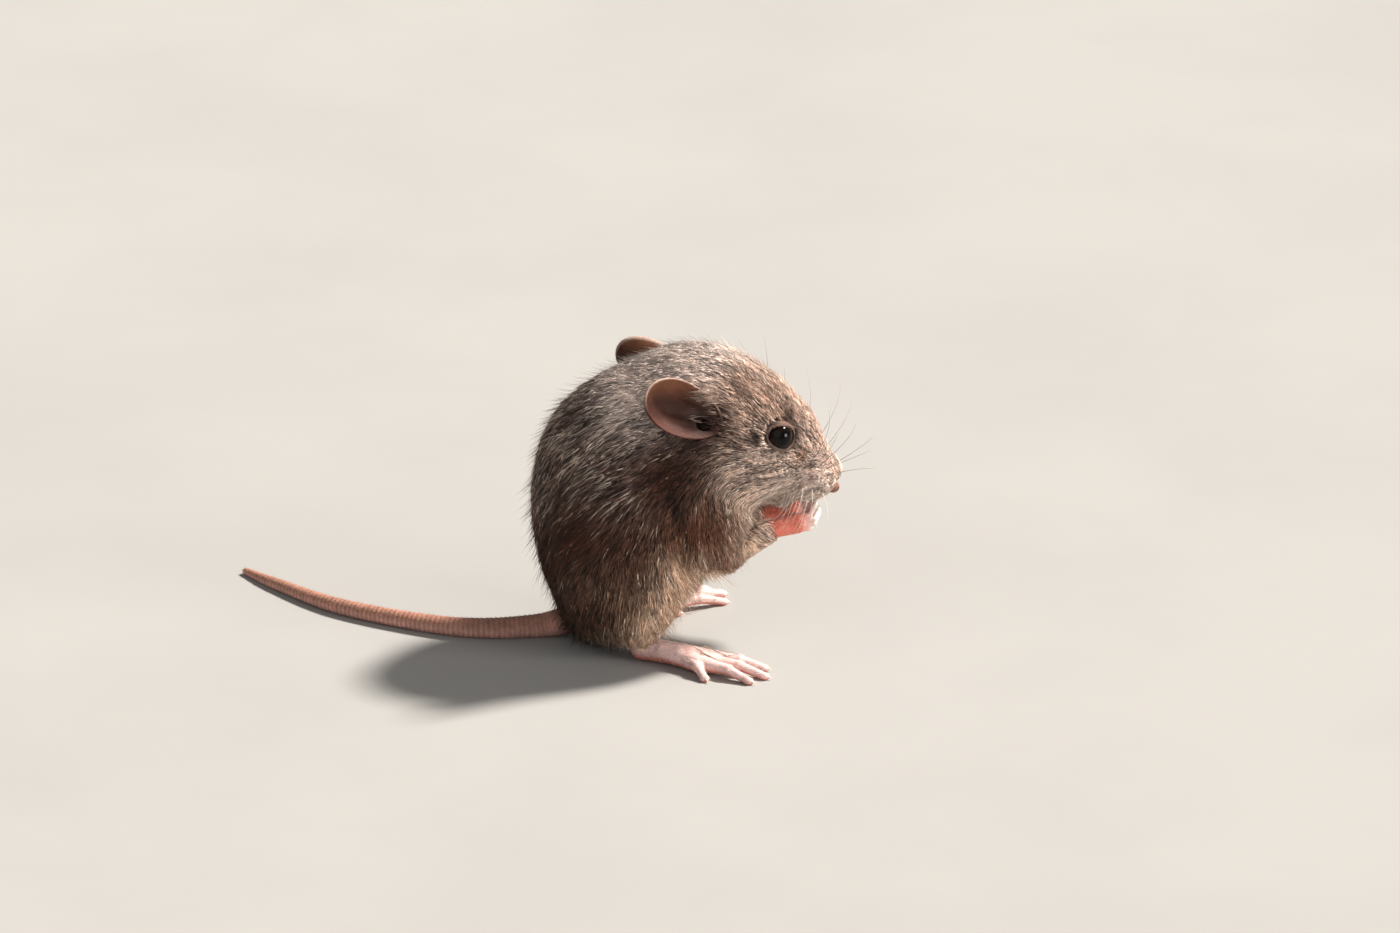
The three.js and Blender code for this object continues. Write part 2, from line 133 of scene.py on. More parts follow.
# How widely the arm bends at the elbow, and how widely each part runs into the skin.
ARM_FILLET, ARM_JOIN, SHANK_JOIN, PAW_JOIN, FOOT_JOIN, TAIL_JOIN = 1, 1.5, 1.2, 0.5, 0.6, 1.0
EAR_JOIN, FLAP_JOIN, NOSE_JOIN, EYELID_JOIN, LID_JOIN = 0.9, 0.4, 0.35, 0.55, 0.16
# How round the edges of what is cut away are, and the gap left round the eyeball.
OPENING_EDGE, EYE_EDGE, CANAL_EDGE, NOSTRIL_EDGE, CLEFT_EDGE, EYE_GAP = 0.25, 0.08, 0.5, 0.12, 0.4, 0.02
FOOT_REACH = vec(15.5, 9, 0)

# How deep the coat is over the skin, by place.
BODY_DEPTH, CROWN_DEPTH, MUZZLE_DEPTH, ARM_DEPTH, SHANK_DEPTH = 1.45, 1.0, 0.28, 0.75, 0.55


def turn(yaw, nod, tilt):
    a, b, c = (math.radians(v) for v in (yaw, nod, tilt))
    rz = np.array([[math.cos(a), -math.sin(a), 0], [math.sin(a), math.cos(a), 0], [0, 0, 1]])
    ry = np.array([[math.cos(b), 0, math.sin(b)], [0, 1, 0], [-math.sin(b), 0, math.cos(b)]])
    rx = np.array([[1, 0, 0], [0, math.cos(c), -math.sin(c)], [0, math.sin(c), math.cos(c)]])
    return (rz @ ry @ rx).astype(np.float32)


HEAD_AXES = turn(HEAD_YAW, HEAD_NOD, HEAD_TILT)


def to_head(points):
    return (points - HEAD_AT) @ HEAD_AXES


def from_head(points):
    return np.asarray(points, dtype=np.float32) @ HEAD_AXES.T + HEAD_AT


def aside(point, side):
    return np.asarray(point, dtype=np.float32) * vec(1, side, 1)


def folded(points):
    """The points with the right side laid over the left."""
    points = points.copy()
    points[:, 1] = np.abs(points[:, 1])
    return points


def node_middle(name):
    low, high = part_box(name)
    return (np.array(low) + np.array(high)) / 2 / MM


EYES = {word: node_middle(f"eye_{word}").astype(np.float32) for word in SIDES}


# ------------------------------------------------------------------ distance fields

def ball(points, centre, radii, lean=0.0):
    q = points - np.asarray(centre, dtype=np.float32)
    if lean:
        q = q @ turn(0, lean, 0)
    q = q / np.asarray(radii, dtype=np.float32)
    reach = np.sqrt(np.einsum("ij,ij->i", q, q))
    q = q / np.asarray(radii, dtype=np.float32)
    return reach * (reach - 1) / np.maximum(np.sqrt(np.einsum("ij,ij->i", q, q)), 1e-6)


def along_bar(points, start, end, start_radius, end_radius):
    """Distance to a tapering bar, and each point's share of the way along it."""
    start, end = np.asarray(start, dtype=np.float32), np.asarray(end, dtype=np.float32)
    axis = end - start
    q = points - start
    share = np.clip(q @ axis / (axis @ axis), 0, 1)
    away = q - share[:, None] * axis
    return np.sqrt(np.einsum("ij,ij->i", away, away)) - mix(start_radius, end_radius, share), share


def bar(points, start, end, start_radius, end_radius):
    return along_bar(points, start, end, start_radius, end_radius)[0]


def blend(a, b, fillet):
    near = np.maximum(fillet - np.abs(a - b), 0) / fillet
    return np.minimum(a, b) - near * near * fillet * 0.25


def carve(a, b, fillet):
    return -blend(-a, b, fillet)


def trunk_field(p):
    d = blend(ball(p, *RUMP), ball(p, *BACK), 6)
    d = blend(d, ball(p, *CHEST), 5)
    d = blend(d, ball(p, *SEAT), 2.5)
    for side in SIDES.values():
        d = blend(d, ball(p, aside(HAUNCH[0], side), HAUNCH[1], HAUNCH_LEAN), 3)
        d = blend(d, ball(p, aside(SHOULDER[0], side), SHOULDER[1]), 3)
    return blend(d, ball(p, *NAPE), 5)


def head_field(q):
    d = blend(ball(q, *SKULL), ball(q, *FACE), 3)
    d = blend(d, bar(q, *SNOUT), 2)
    for side in SIDES.values():
        d = blend(d, ball(q, aside(CHEEK[0], side), CHEEK[1]), 2.5)
        d = blend(d, ball(q, aside(LIP[0], side), LIP[1]), 2)
    return blend(d, bar(q, *CHIN), 1)


def head_depth(q):
    return mix(CROWN_DEPTH, MUZZLE_DEPTH, smoothstep(-2.0, 13.5, q[:, 0]))


def body_field(p):
    q = to_head(p)
    return blend(trunk_field(p) + BODY_DEPTH, head_field(q) + head_depth(q), 4)


def ear_axes():
    length = unit(EAR_LENGTH)
    opening = unit(EAR_OPENING - length * (EAR_OPENING @ length))
    return np.stack([length, np.cross(opening, length), opening], axis=1)


EAR_AXES = ear_axes()


def ear_bowl(rim):
    return EAR_DEPTH * (np.minimum(rim, 1.25) ** 2 - 1) + EAR_DEPTH / 2


def ear_place(q, side):
    """A point in the ear's own frame: shares of its half length and half width, and height over the cup."""
    local = (aside(q, side) - EAR_AT) @ EAR_AXES
    u = local[:, 0] / EAR_HALF[0]
    v = local[:, 1] / (EAR_HALF[1] * (1 + 0.12 * np.clip(u, -1, 1)))
    rim = np.sqrt(u * u + v * v)
    bowl = ear_bowl(rim)
    for across, slant, rise in EAR_FOLDS:
        from_fold = (v - across - slant * (u + 0.6)) / 0.13
        reach = smoothstep(-0.85, -0.55, u) * smoothstep(0.35, -0.25, u)
        bowl = bowl + rise * reach * np.exp(-from_fold * from_fold)
    return u, v, rim, local[:, 2] - bowl


def over_ear(u, v, height, side):
    """Points at heights over an ear's cup, at shares of its half length and half width."""
    up = ear_bowl(np.sqrt(u * u + v * v)) + height
    local = np.stack([u * EAR_HALF[0], v * EAR_HALF[1] * (1 + 0.12 * u), up], axis=1)
    return from_head(aside(local @ EAR_AXES.T + EAR_AT, side)).astype(np.float32)


def ear_field(q, side):
    _, _, rim, height = ear_place(q, side)
    slope = 2 * EAR_DEPTH * np.minimum(rim, 1.25) / np.mean(EAR_HALF)
    sheet = np.abs(height) / np.sqrt(1 + slope * slope) - EAR_THICKNESS / 2
    edge = (rim - 1) * EAR_HALF[1]
    bend = 0.2
    outer = np.sqrt(np.maximum(sheet + bend, 0) ** 2 + np.maximum(edge + bend, 0) ** 2)
    return outer + np.minimum(np.maximum(sheet, edge) + bend, 0) - bend


def finger_lines(side):
    end = aside(PALM_END, side)
    for out, up in FINGERS:
        root = vec(end[0] + 0.6 - 0.40 * out * out, side * (2.5 - 0.3 * out), end[2] + up)
        knuckle = root + vec(1.75 - 0.35 * out * out, -0.1 * side, 0.1)
        tip = knuckle + vec(0.7, -0.9 * side, 0.9)
        yield root, knuckle, tip, tip + vec(-0.1, -0.35 * side, 0.5)


def paw_field(p, side):
    end = aside(PALM_END, side)
    d = bar(p, aside(WRIST, side), end, *PALM_RADII)
    palm, base, middle, last = FINGER_RADII
    for root, knuckle, tip, _ in finger_lines(side):
        outer = bar(p, knuckle, tip, middle, last)
        finger = blend(bar(p, root, knuckle, base, middle), outer, FINGER_FILLET)
        finger = blend(finger, bar(p, mix(end, root, 0.2), root, palm, base), 0.22)
        d = blend(d, finger, FINGER_FILLET)
    return d


def arm_field(p, side):
    shoulder, elbow, wrist = (radius - ARM_DEPTH for radius in ARM_RADII)
    upper = bar(p, aside(ARM_ROOT, side), aside(ELBOW, side), shoulder, elbow)
    return blend(upper, bar(p, aside(ELBOW, side), aside(WRIST, side), elbow, wrist), ARM_FILLET)


def arm_place(side):
    return around([aside(ARM_ROOT, side), aside(WRIST, side)], 5)


def foot_lines(word):
    """The foot's ball, then for each toe its points from the instep to the claw's tip and its radius."""
    heel, splay = FEET[word]
    side = SIDES[word]
    angle = math.radians(splay * side)
    forward = vec(math.cos(angle), math.sin(angle), 0)
    outward = vec(-math.sin(angle), math.cos(angle), 0) * side
    place = lambda along, out, up: heel + forward * along + outward * out + vec(0, 0, up)
    toes = []
    for along, out, heading, length, radius in TOES:
        ahead, across = math.cos(math.radians(heading)), math.sin(math.radians(heading))
        root = place(along, out, -0.35)
        tip = place(along + length * ahead, out + length * across, 0.4 - heel[2])
        knuckle = mix(root, tip, 0.5) + vec(0, 0, 0.45)
        claw = place(along + (length + 1) * ahead, out + (length + 1) * across, 0.25 - heel[2])
        toes.append((place(along - 4, out * 0.5, 0.1), root, knuckle, tip, claw, radius))
    return heel, place(SOLE, 0, -0.1), toes


def foot_field(p, word):
    heel, ball_of_foot, toes = foot_lines(word)
    d = bar(p, heel, ball_of_foot, *FOOT_RADII)
    for instep, root, knuckle, tip, _, radius in toes:
        tip_bone = bar(p, knuckle, tip, radius * 0.94, TOE_TIP)
        toe = blend(bar(p, root, knuckle, TOE_ROOT, radius), tip_bone, 0.25)
        pad = ball(p, tip - vec(0, 0, 0.05), TOE_PAD)
        toe = blend(toe, pad, 0.2)
        d = blend(d, blend(toe, bar(p, instep, root, *INSTEP_RADII), 0.4), 0.4)
    return d


def shank_field(p, word):
    heel, _ = FEET[word]
    knee, ankle = heel + aside(KNEE_FROM_HEEL, SIDES[word]), heel + ANKLE_FROM_HEEL
    return bar(p, knee, ankle, *(radius - SHANK_DEPTH for radius in SHANK_RADII))


def shank_place(word):
    heel = FEET[word][0]
    return around([heel, heel + vec(0, SIDES[word], 5)], 5)


def catmull(points, steps):
    ends = np.vstack([2 * points[0] - points[1], points, 2 * points[-1] - points[-2]])
    t = np.linspace(0, len(points) - 1 - 1e-6, steps)
    i = t.astype(int)
    f = (t - i)[:, None]
    a, b, c, d = (ends[i + k] for k in range(4))
    return 0.5 * (2 * b + (c - a) * f + (2 * a - 5 * b + 4 * c - d) * f**2 + (3 * b - a - 3 * c + d) * f**3)


TAIL_CURVE = catmull(TAIL_LINE, TAIL_STEPS).astype(np.float32)
TAIL_ALONG = np.concatenate([[0], np.cumsum(np.linalg.norm(np.diff(TAIL_CURVE, axis=0), axis=1))])
TAIL_SHARES = np.linspace(0, 1, TAIL_STEPS)
TAIL_CURVE_RADII = np.interp(TAIL_SHARES, np.linspace(0, 1, len(TAIL_RADII)), TAIL_RADII)


def tail_field(p):
    """Distance to the tail, and how far along it each point lies."""
    best = np.full(len(p), 1e3, dtype=np.float32)
    along = np.zeros(len(p), dtype=np.float32)
    for i in range(len(TAIL_CURVE) - 1):
        d, share = along_bar(p, *TAIL_CURVE[i:i + 2], *TAIL_CURVE_RADII[i:i + 2])
        closer = d < best
        best = np.where(closer, d, best)
        along = np.where(closer, mix(TAIL_ALONG[i], TAIL_ALONG[i + 1], share), along)
    return best, along


def within(p, low, high):
    low, high = np.asarray(low, dtype=np.float32), np.asarray(high, dtype=np.float32)
    return np.all((p > low) & (p < high), axis=1)


def around(points, margin):
    points = np.asarray(points)
    return points.min(axis=0) - margin, points.max(axis=0) + margin


def eye_out(word):
    """The way the eye looks."""
    return unit(vec(0.30, 0.93 * SIDES[word], 0.20)) @ HEAD_AXES.T


# The opening between the lids: half its length and half its height. The lids' skin and their dark rim.
EYE_OPENING, LID_SKIN_THICKNESS, LID_RIM = (1.80, 1.42), 0.24, 0.12
EYE_SLANT = 0.10


def lid_place(p, word):
    """How far each point is outside the opening, and its height and the ball's along the eye's axis."""
    out = eye_out(word)
    local = p - EYES[word]
    height = local @ out
    flat = local - height[:, None] * out
    ahead = HEAD_AXES @ unit(vec(1, 0, EYE_SLANT))
    ahead = unit(ahead - out * (ahead @ out))
    above = np.cross(out, ahead) * SIDES[word]
    x, y = flat @ ahead / EYE_OPENING[0], flat @ above / EYE_OPENING[1]
    outside = (np.sqrt(x * x + y * y) - 1) * min(EYE_OPENING)
    on_ball = np.sqrt(np.maximum(EYE_RADIUS**2 - np.einsum("ij,ij->i", flat, flat), 0.04))
    return outside, height, on_ball


def lid_rim_field(p, word):
    outside, height, on_ball = lid_place(p, word)
    return np.sqrt((outside - 0.08) ** 2 + (height - on_ball - 0.04) ** 2) - LID_RIM


def eyelid_field(p, word):
    outside, height, _ = lid_place(p, word)
    reach = np.linalg.norm(p - EYES[word], axis=1) - EYE_RADIUS - LID_SKIN_THICKNESS / 2
    sheet = np.abs(reach) - LID_SKIN_THICKNESS / 2
    return np.maximum(np.maximum(sheet, -outside), -0.4 - height)


def skin_field(p, parts=False):
    """Distance to the skin. With parts, also each bare part's own distance."""
    d = body_field(p)
    far = np.full(len(p), 9.0, dtype=np.float32)
    own = {}

    def add(name, low, high, fillet, field):
        nonlocal d
        own.setdefault(name, far.copy())
        hit = within(p, low, high)
        if hit.any():
            part = field(p[hit])
            own[name][hit] = np.minimum(own[name][hit], part)
            d[hit] = blend(d[hit], part, fillet)

    q = to_head(p)
    for word, side in SIDES.items():
        add("arm", *arm_place(side), ARM_JOIN, lambda x: arm_field(x, side))
        paw = around([aside(WRIST, side), aside(PAW_END, side)], 3)
        add("paw", *paw, PAW_JOIN, lambda x: paw_field(x, side))
        heel = FEET[word][0]
        add("shank", *shank_place(word), SHANK_JOIN, lambda x: shank_field(x, word))
        foot = around([heel, heel + aside(FOOT_REACH, side)], 3.2)
        add("foot", *foot, FOOT_JOIN, lambda x: foot_field(x, word))
        ear = around(from_head([aside(EAR_AT, side)]), 8.5)
        add("ear", *ear, EAR_JOIN, lambda x: ear_field(to_head(x), side))
        lids = around([EYES[word]], 3.2)
        add("eyelid", *lids, EYELID_JOIN, lambda x: eyelid_field(x, word))
        add("lid", *lids, LID_JOIN, lambda x: lid_rim_field(x, word))
        socket = within(p, *lids)
        if socket.any():
            outside, height, _ = lid_place(p[socket], word)
            opening = np.maximum(outside, 0.3 - height)
            d[socket] = carve(d[socket], opening, OPENING_EDGE)
            rim = lid_rim_field(p[socket], word)
            d[socket] = blend(d[socket], rim, LID_JOIN)
            eye = np.linalg.norm(p[socket] - EYES[word], axis=1) - EYE_RADIUS - EYE_GAP
            d[socket] = carve(d[socket], eye, EYE_EDGE)
        canal_hit = within(p, *around(from_head([aside(CANAL_AT, side)]), 3.5))
        if canal_hit.any():
            local = aside(q[canal_hit], side)
            d[canal_hit] = carve(d[canal_hit], ball(local, CANAL_AT, CANAL_SIZE), CANAL_EDGE)
            d[canal_hit] = blend(d[canal_hit], ball(local, EAR_FLAP_AT, EAR_FLAP_SIZE), FLAP_JOIN)

    def tail(x):
        distance, along = tail_field(x)
        return distance + RING_DEPTH * np.cos(2 * math.pi * along / TAIL_RING)

    add("tail", *around(TAIL_LINE, 2.4), TAIL_JOIN, tail)

    def nose(x):
        local = to_head(x)
        pad = ball(local, *NOSE)
        for side in SIDES.values():
            pad = carve(pad, ball(local, aside(NOSTRIL[0], side), NOSTRIL[1]), NOSTRIL_EDGE)
        return pad

    add("nose", *around(from_head([NOSE[0]]), 2.5), NOSE_JOIN, nose)
    muzzle = within(p, *around(from_head([(14.5, 0, -3.2)]), 4))
    if muzzle.any():
        d[muzzle] = carve(d[muzzle], bar(q[muzzle], *CLEFT), CLEFT_EDGE)
    d = np.maximum(d, -p[:, 2])
    return (d, own) if parts else d


# ------------------------------------------------------------------ meshing a field

def gradient(field, points, reach=0.04):
    total = np.zeros_like(points)
    for corner in ((1, -1, -1), (-1, -1, 1), (-1, 1, -1), (1, 1, 1)):
        step = vec(*corner)
        total += field(points + step * reach)[:, None] * step
    return total


def surface_nets(field, low, high, step, block=8):
    """Closed quads over the field's zero surface, from a grid filled in only near that surface."""
    low, high = np.asarray(low, dtype=np.float32), np.asarray(high, dtype=np.float32)
    blocks = np.ceil((high - low) / (step * block)).astype(int)
    axes = [low[k] + (np.arange(blocks[k]) + 0.5) * step * block for k in range(3)]
    middles = np.stack(np.meshgrid(*axes, indexing="ij"), axis=-1).reshape(-1, 3).astype(np.float32)
    coarse = field(middles)
    near = np.abs(coarse) < step * block * 0.95 + 0.45
    grid = np.where(coarse < 0, -1, 1).astype(np.float32).reshape(blocks)
    grid = grid.repeat(block, 0).repeat(block, 1).repeat(block, 2)
    inner = np.stack(np.meshgrid(*[np.arange(block)] * 3, indexing="ij"), axis=-1).reshape(-1, 3)
    chosen = np.argwhere(near.reshape(blocks))
    for start in range(0, len(chosen), 600):
        cells = (chosen[start:start + 600, None] * block + inner[None]).reshape(-1, 3)
        values = field(low + (cells * step).astype(np.float32) + 0.5 * step)
        grid[cells[:, 0], cells[:, 1], cells[:, 2]] = values
    inside = grid < 0
    count = np.zeros([n - 1 for n in grid.shape], dtype=np.uint8)
    offsets = [(i, j, k) for i in (0, 1) for j in (0, 1) for k in (0, 1)]
    for i, j, k in offsets:
        count += inside[i:i + count.shape[0], j:j + count.shape[1], k:k + count.shape[2]]
    cells = np.argwhere((count > 0) & (count < 8))
    corner = {o: grid[cells[:, 0] + o[0], cells[:, 1] + o[1], cells[:, 2] + o[2]] for o in offsets}
    total = np.zeros((len(cells), 3))
    crossings = np.zeros(len(cells))
    for o in offsets:
        for axis in range(3):
            if o[axis]:
                continue
            other = tuple(1 if k == axis else o[k] for k in range(3))
            a, b = corner[o], corner[other]
            cross = (a < 0) != (b < 0)
            share = np.where(cross, a / np.where(cross, a - b, 1), 0)
            for k in range(3):
                total[:, k] += np.where(cross, o[k] + (share if k == axis else 0), 0)
            crossings += cross
    vertices = (low + (cells + total / crossings[:, None] + 0.5) * step).astype(np.float32)
    flat = np.ravel_multi_index(cells.T, count.shape)
    quads = []
    for axis in range(3):
        u, v = (axis + 1) % 3, (axis + 2) % 3
        shift = np.eye(3, dtype=int)
        here = inside[cells[:, 0], cells[:, 1], cells[:, 2]]
        ahead_cell = cells + shift[axis]
        ahead = inside[ahead_cell[:, 0], ahead_cell[:, 1], ahead_cell[:, 2]]
        edge = cells[here != ahead]
        out = here[here != ahead]
        ring = [edge, edge - shift[u], edge - shift[u] - shift[v], edge - shift[v]]
        ok = np.all([np.all(r >= 0, axis=1) for r in ring], axis=0)
        index = [np.searchsorted(flat, np.ravel_multi_index(r[ok].T, count.shape)) for r in ring]
        quad = np.stack(index, axis=1)
        quad[~out[ok]] = quad[~out[ok]][:, ::-1]
        quads.append(quad)
    return vertices, np.concatenate(quads)


def move_to(field, points, height=0.0, reach=0.04, most=0.12):
    """Moves points along the field's slope until they stand at a height over its surface."""
    for _ in range(2):
        slope = gradient(field, points, reach)
        steep = np.maximum(np.linalg.norm(slope, axis=1, keepdims=True), 1e-6)
        points = points + slope / steep * np.clip(height - field(points), -most, most)[:, None]
    return points


# ------------------------------------------------------------------ the coat: where, how long, what colour

# Named coat colours, linear: the band near the hair's tip, the base at its root, how dark its tip is,
# and the share of black and of pale hairs among the rest.
COLOURS = {
    "slate": ((0.205, 0.128, 0.106), (0.018, 0.012, 0.011), 0.45, 0.38, 0.30),
    # brown and warm are real fur colours, darkened with painted shade as on the flank and arm.
    "brown": ((0.086, 0.026, 0.012), (0.011, 0.005, 0.004), 0.40, 0.28, 0.06),
    "warm": ((0.180, 0.056, 0.024), (0.020, 0.008, 0.005), 0.30, 0.28, 0.05),
    # ash, for the crown, is partly the fur's own pale colour and partly a painted highlight.
    "ash": ((0.900, 0.740, 0.670), (0.110, 0.082, 0.070), 0.20, 0.22, 0.38),
    "tan": ((0.660, 0.440, 0.335), (0.048, 0.028, 0.020), 0.28, 0.34, 0.20),
    "grey": ((0.880, 0.650, 0.540), (0.070, 0.046, 0.037), 0.25, 0.34, 0.30),
    "muzzle": ((0.840, 0.630, 0.550), (0.140, 0.090, 0.076), 0.20, 0.20, 0.30),
    "buff": ((0.880, 0.620, 0.440), (0.110, 0.068, 0.048), 0.12, 0.06, 0.28),
    "white": ((0.880, 0.740, 0.630), (0.240, 0.180, 0.150), 0.02, 0.00, 0.22),
}

# Places on the body, the right and left sides alike: the place, the way the hair lies there, its length,
# and its colour.
BODY_COAT = [
    ((6, 3, 33), (-0.95, 0.10, -0.20), 2.8, "ash"),
    ((-2, 3, 33), (-0.88, 0.10, -0.45), 3.4, "slate"),
    ((-8, 3, 25), (-0.40, 0.10, -0.90), 3.8, "slate"),
    ((-9, 3, 15), (-0.12, 0.10, -0.98), 3.8, "brown"),
    ((-7, 4, 6), (-0.20, 0.00, -0.98), 3.2, "brown"),
    ((-5, 0, 3), (-0.75, 0.05, -0.60), 2.4, "brown"),
    ((9, 9, 26), (-0.92, 0.05, -0.35), 2.8, "brown"),
    ((2, 10, 26), (-0.88, 0.05, -0.48), 3.3, "slate"),
    ((-3, 9, 19), (-0.68, 0.05, -0.72), 3.6, "brown"),
    ((4, 11, 18), (-0.55, 0.05, -0.82), 3.3, "brown"),
    ((-3, 10, 9), (-0.22, 0.00, -0.97), 3.4, "brown"),
    ((2.0, 11.5, 9), (0.02, 0.00, -1.00), 3.2, "brown"),
    ((10, 9, 7), (0.30, 0.00, -0.95), 2.8, "buff"),
    ((10.5, 9, 12.5), (0.22, 0.05, -0.97), 3.0, "buff"),
    ((5.2, 11.3, 8.3), (0.12, 0.05, -0.99), 3.1, "buff"),
    ((8.0, 11.0, 13.0), (0.12, 0.05, -0.99), 3.2, "buff"),
    ((4, 11.2, 14.5), (0.00, 0.05, -1.00), 3.1, "brown"),
    ((6.5, 10, 4.5), (0.15, 0.00, -0.98), 2.2, "buff"),
    ((13, 9.5, 19), (0.05, 0.05, -1.00), 2.6, "warm"),
    ((14.5, 8.0, 13.5), (0.30, 0.05, -0.94), 2.4, "warm"),
    ((10.5, 10.5, 19.5), (-0.10, 0.05, -0.99), 3.0, "warm"),
    ((18, 5, 14), (0.60, 0.00, -0.75), 2.1, "buff"),
    ((20, 4, 15.5), (0.75, 0.00, -0.55), 1.6, "grey"),
    ((12, 8, 9), (0.50, 0.12, -0.85), 3.0, "buff"),
    ((15, 4, 12), (0.40, 0.20, -0.90), 3.0, "buff"),
    ((14, 0, 16), (0.10, 0.20, -0.97), 3.0, "white"),
    ((12.5, 0, 10), (0.25, 0.15, -0.95), 3.0, "white"),
    ((11, 5, 8), (0.35, 0.15, -0.92), 3.0, "white"),
    ((9, 0, 4), (0.30, 0.20, -0.85), 2.6, "white"),
    ((11, 3, 5), (0.50, 0.30, -0.80), 2.6, "buff"),
    ((5, 6, 2.5), (0.60, 0.50, -0.50), 1.6, "buff"),
    ((18, 2, 20), (-0.30, 0.20, -0.93), 2.2, "white"),
]

# The same on the head, in the head's own frame: +X to the nose, +Z to the crown.
HEAD_COAT = [
    ((14.0, 0.0, 0.6), (-1.0, 0.10, 0.20), 0.7, "grey"),
    ((11.0, 0.0, 3.6), (-1.0, 0.10, 0.30), 1.0, "tan"),
    ((6.0, 0.0, 6.8), (-1.0, 0.08, 0.25), 1.5, "tan"),
    ((-3.0, 0.0, 9.8), (-1.0, 0.05, 0.00), 2.0, "ash"),
    ((-9.0, 2.0, 8.0), (-1.0, 0.05, -0.40), 2.5, "ash"),
    ((0.5, 6.2, 6.2), (-1.0, 0.10, 0.35), 1.7, "tan"),
    ((-5.5, 6.2, 6.0), (-1.0, 0.10, -0.15), 2.3, "ash"),
    ((6.0, 4.4, 5.0), (-1.0, 0.10, 0.50), 1.2, "tan"),
    ((9.2, 4.0, 1.0), (-1.0, 0.25, 0.20), 0.9, "grey"),
    ((5.4, 5.8, -0.8), (-1.0, 0.10, -0.25), 1.1, "grey"),
    ((1.2, 7.8, 1.4), (-1.0, 0.10, 0.20), 1.6, "tan"),
    ((3.0, 7.6, -4.0), (-0.86, 0.10, -0.50), 1.8, "grey"),
    ((-3.5, 8.2, -4.5), (-0.88, 0.05, -0.50), 2.3, "brown"),
    ((-1.8, 7.8, 1.4), (-0.86, 0.50, -0.05), 2.6, "tan"),
    # Painted shadow: dark brown under the ear, where shade falls.
    ((-8.5, 7.0, -1.5), (-0.92, 0.00, -0.45), 2.6, "brown"),
    ((12.6, 3.6, -2.0), (-1.0, 0.30, -0.15), 0.7, "muzzle"),
    ((10.6, 3.2, -4.8), (-0.85, 0.10, -0.55), 0.9, "white"),
    ((11.4, 3.4, -3.6), (-0.10, 0.20, -1.00), 1.1, "white"),
    ((13.0, 2.7, -3.4), (0.10, 0.20, -1.00), 0.9, "white"),
    ((8.0, 0.0, -7.0), (-0.95, 0.05, -0.25), 1.2, "white"),
    ((2.0, 3.0, -8.6), (-0.90, 0.10, -0.45), 2.0, "white"),
    ((3.0, 6.4, -7.0), (-0.80, 0.10, -0.60), 1.9, "buff"),
]

# Marks on the head: the place, its reach, how far it changes the colour, and the colour it tends to.
MARKS = [
    ((8.3, 4.5, 2.9), 1.15, 0.96, (0.026, 0.009, 0.006)),
    ((7.0, 4.6, 4.4), 1.05, 0.94, (0.030, 0.011, 0.007)),
    ((3.7, 6.3, 1.3), 0.85, 0.98, (0.020, 0.007, 0.005)),
    # Painted shade at the ear's front, over the canal.
    ((-2.6, 7.8, 0.6), 2.70, 1.00, (0.046, 0.015, 0.010)),
    ((5.5, 5.3, 4.2), 0.60, 0.75, (0.480, 0.320, 0.230)),
    ((6.2, 5.6, 0.2), 1.00, 0.60, (0.860, 0.680, 0.520)),
    ((10.0, 4.1, 0.9), 1.10, 0.60, (0.700, 0.380, 0.220)),
    ((12.0, 3.7, -0.5), 0.60, 0.60, (0.420, 0.210, 0.170)),
    ((12.5, 3.8, -1.4), 0.42, 0.80, (0.070, 0.034, 0.028)),
    ((11.4, 4.1, -2.4), 0.42, 0.80, (0.070, 0.034, 0.028)),
    ((12.9, 3.3, -2.7), 0.38, 0.75, (0.080, 0.040, 0.032)),
    ((12.0, 3.7, -3.4), 0.36, 0.65, (0.100, 0.055, 0.045)),
]

# The same on the body, on the right side only, with a reach for each axis: a short dark parting.
BODY_MARKS = [((9.4, -10.4, 23.0), (1.0, 3.0, 2.8), 1.00, (0.006, 0.004, 0.004))]

# Colours of the bare skin, linear, some holding painted light or shade.
PINK_FOOT = (0.740, 0.500, 0.465)
PINK_PAW = (0.660, 0.165, 0.110)
# A painted highlight: the fingertips painted pale where light shines through them.
FINGER_HIGHLIGHT = (0.900, 0.760, 0.700)
# The ear's skin with painted shade; EAR_LIT is the same skin with painted light through it, and EAR_RIM a
# painted highlight on the rim of that lit side.
EAR_SHADED_SKIN = (0.040, 0.010, 0.005)
EAR_LIT = (0.210, 0.082, 0.042)
EAR_LOBE = (0.075, 0.024, 0.016)
EAR_RIM = (0.460, 0.330, 0.270)
# Painted shade in the ear canal, also laid over the flap before it.
CANAL_SHADE = (0.030, 0.014, 0.011)
TAIL_ABOVE = (0.440, 0.215, 0.150)
TAIL_BELOW = (0.700, 0.370, 0.300)
NOSE_SKIN = (0.230, 0.110, 0.080)
LID_SKIN = (0.022, 0.013, 0.011)
# A painted reflection: the pale wet line along the lower lid.
LID_REFLECTION = (0.520, 0.400, 0.340)
EYELID_SKIN = (0.120, 0.065, 0.048)


# How far from the middle the lie has turned fully outward, so that no parting shows.
MIDLINE = 4.0
# How softly one place's coat passes into the next, in square mm.
BODY_SOFTNESS, HEAD_SOFTNESS = 7.0, 1.5


